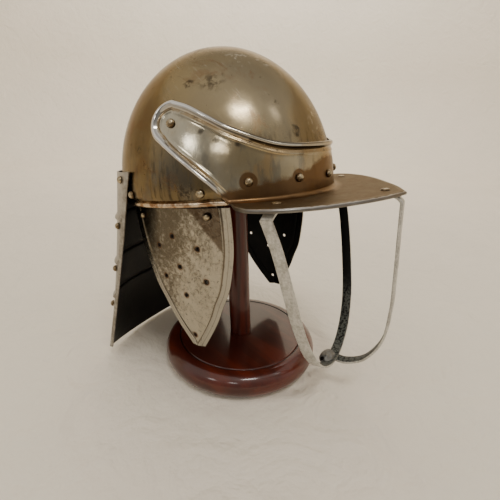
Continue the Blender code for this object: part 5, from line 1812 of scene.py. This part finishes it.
@dataclass
class Studio:
    """The plain pale floor with its sweep, the soft lights and the camera."""

    floor_radius: float = 2.4
    wall_height: float = 2.2
    sweep: float = 0.6
    room_light: float = 0.94
    room_dark: float = 0.38
    heading: float = math.radians(-60.34)
    climb: float = math.radians(20.96)
    roll: float = math.radians(2.08)
    place: tuple[float, float, float] = (-0.31371, -0.18769, 0.27506)
    focus: float = 346.52
    frame: float = 500.0

    def floor(self, cloth: bpy.types.Material) -> None:
        """Lays a round floor that curves up into a wall behind the helmet."""
        profile = [(r, 0.0) for r in (0.0, 0.3, 0.8, self.floor_radius - self.sweep)]
        for turn in even(12, 0.0, math.pi / 2)[1:]:
            profile.append(
                (self.floor_radius - self.sweep + self.sweep * math.sin(turn), self.sweep * (1 - math.cos(turn)))
            )
        profile.append((self.floor_radius, self.wall_height))
        # The wall stands only behind the helmet, so the light from the front is left open.
        way = self.heading + math.pi / 2
        rows = []
        for radius, level in profile:
            row = []
            for turn in even(96, 0.0, math.tau):
                angle = way + turn
                facing = math.cos(turn)
                raised_by = level * ease(facing, -0.25, 0.15)
                row.append(Vector((radius * math.cos(angle), radius * math.sin(angle), raised_by)))
            rows.append(row)
        obj = laid_sheet("studio_floor", rows)
        seal(obj)
        dress(obj, cloth)
        shade(obj, 60.0)

    def light(self, name: str, place: Sequence[float], aim: Sequence[float], size: tuple[float, float],
              watts: float, colour: Colour = (1.0, 0.97, 0.92)) -> None:
        """Hangs one softbox.

        Args:
            name: the light's name.
            place: where it hangs.
            aim: the point that it looks at.
            size: its width and height.
            watts: its power.
            colour: its colour.
        """
        data = bpy.data.lights.new(name, "AREA")
        data.shape, data.size, data.size_y = "RECTANGLE", *size
        data.energy, data.color = watts, colour
        obj = bpy.data.objects.new(name, data)
        bpy.context.scene.collection.objects.link(obj)
        obj.location = place
        obj.rotation_euler = (Vector(aim) - Vector(place)).to_track_quat("-Z", "Y").to_euler()

    def lights(self) -> None:
        """Hangs two ceiling lamps, two window panes on the left and a wash for the wall behind."""
        middle = (0.0, 0.0, 0.20)
        self.light("left_lamp", (-0.56, -0.74, 1.82), middle, (0.50, 0.20), 9.0)
        self.light("right_lamp", (0.28, -1.15, 1.61), middle, (0.12, 0.30), 0.5)
        self.light("near_pane", (-1.55, -0.62, 1.16), middle, (0.34, 0.22), 2.0)
        self.light("far_pane", (-1.66, 0.26, 1.10), middle, (0.30, 0.26), 2.2)
        self.light("wall_wash", (1.10, 0.60, 1.90), (2.3, 1.3, 0.8), (1.4, 0.8), 30.0)
        self.room()

    def room(self) -> None:
        """Sets the room's own light: pale all round, dim low down behind the camera."""
        world = bpy.data.worlds.new("room")
        world.use_nodes = True
        tree = world.node_tree
        way = tree.nodes.new("ShaderNodeTexCoord").outputs["Generated"]
        toward = tree.nodes.new("ShaderNodeVectorMath")
        toward.operation = "DOT_PRODUCT"
        toward.inputs[1].default_value = (math.sin(self.heading), -math.cos(self.heading), -0.35)
        tree.links.new(way, toward.inputs[0])
        share = tree.nodes.new("ShaderNodeMapRange")
        share.interpolation_type = "SMOOTHSTEP"
        for key, value in {1: 0.05, 2: 0.75, 3: self.room_light, 4: self.room_dark}.items():
            share.inputs[key].default_value = value
        tree.links.new(toward.outputs["Value"], share.inputs[0])
        background = tree.nodes["Background"]
        background.inputs["Color"].default_value = (1.0, 0.945, 0.865, 1.0)
        tree.links.new(share.outputs[0], background.inputs["Strength"])
        bpy.context.scene.world = world

    def camera(self) -> None:
        """Sets the camera as the photograph was taken."""
        data = bpy.data.cameras.new("camera")
        data.sensor_width = 36.0
        data.lens = self.focus / self.frame * data.sensor_width
        data.clip_start = 0.01
        az, el, roll = self.heading, self.climb, self.roll
        right = Vector((math.cos(az), math.sin(az), 0.0))
        back = Vector((math.sin(az) * math.cos(el), -math.cos(az) * math.cos(el), math.sin(el)))
        up = back.cross(right)
        across = math.cos(roll) * right + math.sin(roll) * up
        upward = -math.sin(roll) * right + math.cos(roll) * up
        obj = bpy.data.objects.new("camera", data)
        turn = Matrix((across, upward, back)).transposed().to_4x4()
        obj.matrix_world = Matrix.Translation(self.place) @ turn
        bpy.context.scene.collection.objects.link(obj)
        bpy.context.scene.camera = obj

    def set_up(self, cloth: bpy.types.Material) -> None:
        """Lays the floor, hangs the lights and sets the camera."""
        self.floor(cloth)
        self.lights()
        self.camera()


def main() -> None:
    """Builds each sub-assembly in order and reports it."""
    logging.basicConfig(level=logging.INFO, format="%(message)s", stream=sys.stdout)
    inside = UndersideSteel().make()
    black = BlackPaint().make()
    upright = Mahogany("upright_mahogany", along=(1.0, 1.0, 0.05), gloss=0.55).make()
    leather = Leather().make()
    Studio().set_up(PaleCloth().make())
    Skull().finish(AgedSteel().make(), inside)
    Peak().finish(PeakSteel().make(), inside)
    NeckGuard().finish(GuardSteel().make(), black)
    cheek_steel = CheekSteel().make()
    for side in Side:
        Cheekpiece(side).finish(cheek_steel, black)
    weld = BarSteel("rough_weld_steel", coarse=0.7).make()
    bar_inside = BlackPaint("worn_bar_paint", bare_below=-0.145).make()
    FaceGuard().finish(BarSteel().make(), weld, bar_inside)
    Rivets().finish(RivetNickel().make())
    flat_wood = Mahogany("flat_mahogany", along=(1.0, 0.05, 1.0), groove=0.0735)
    Stand().finish(flat_wood.make(), upright)
    dress(frame["nodes"]["stand_head"], upright)
    for side in ("right", "left"):
        for place in ("front", "back"):
            dress(frame["nodes"][f"strap_{side}_{place}"], leather)


if __name__ == "__main__":
    main()
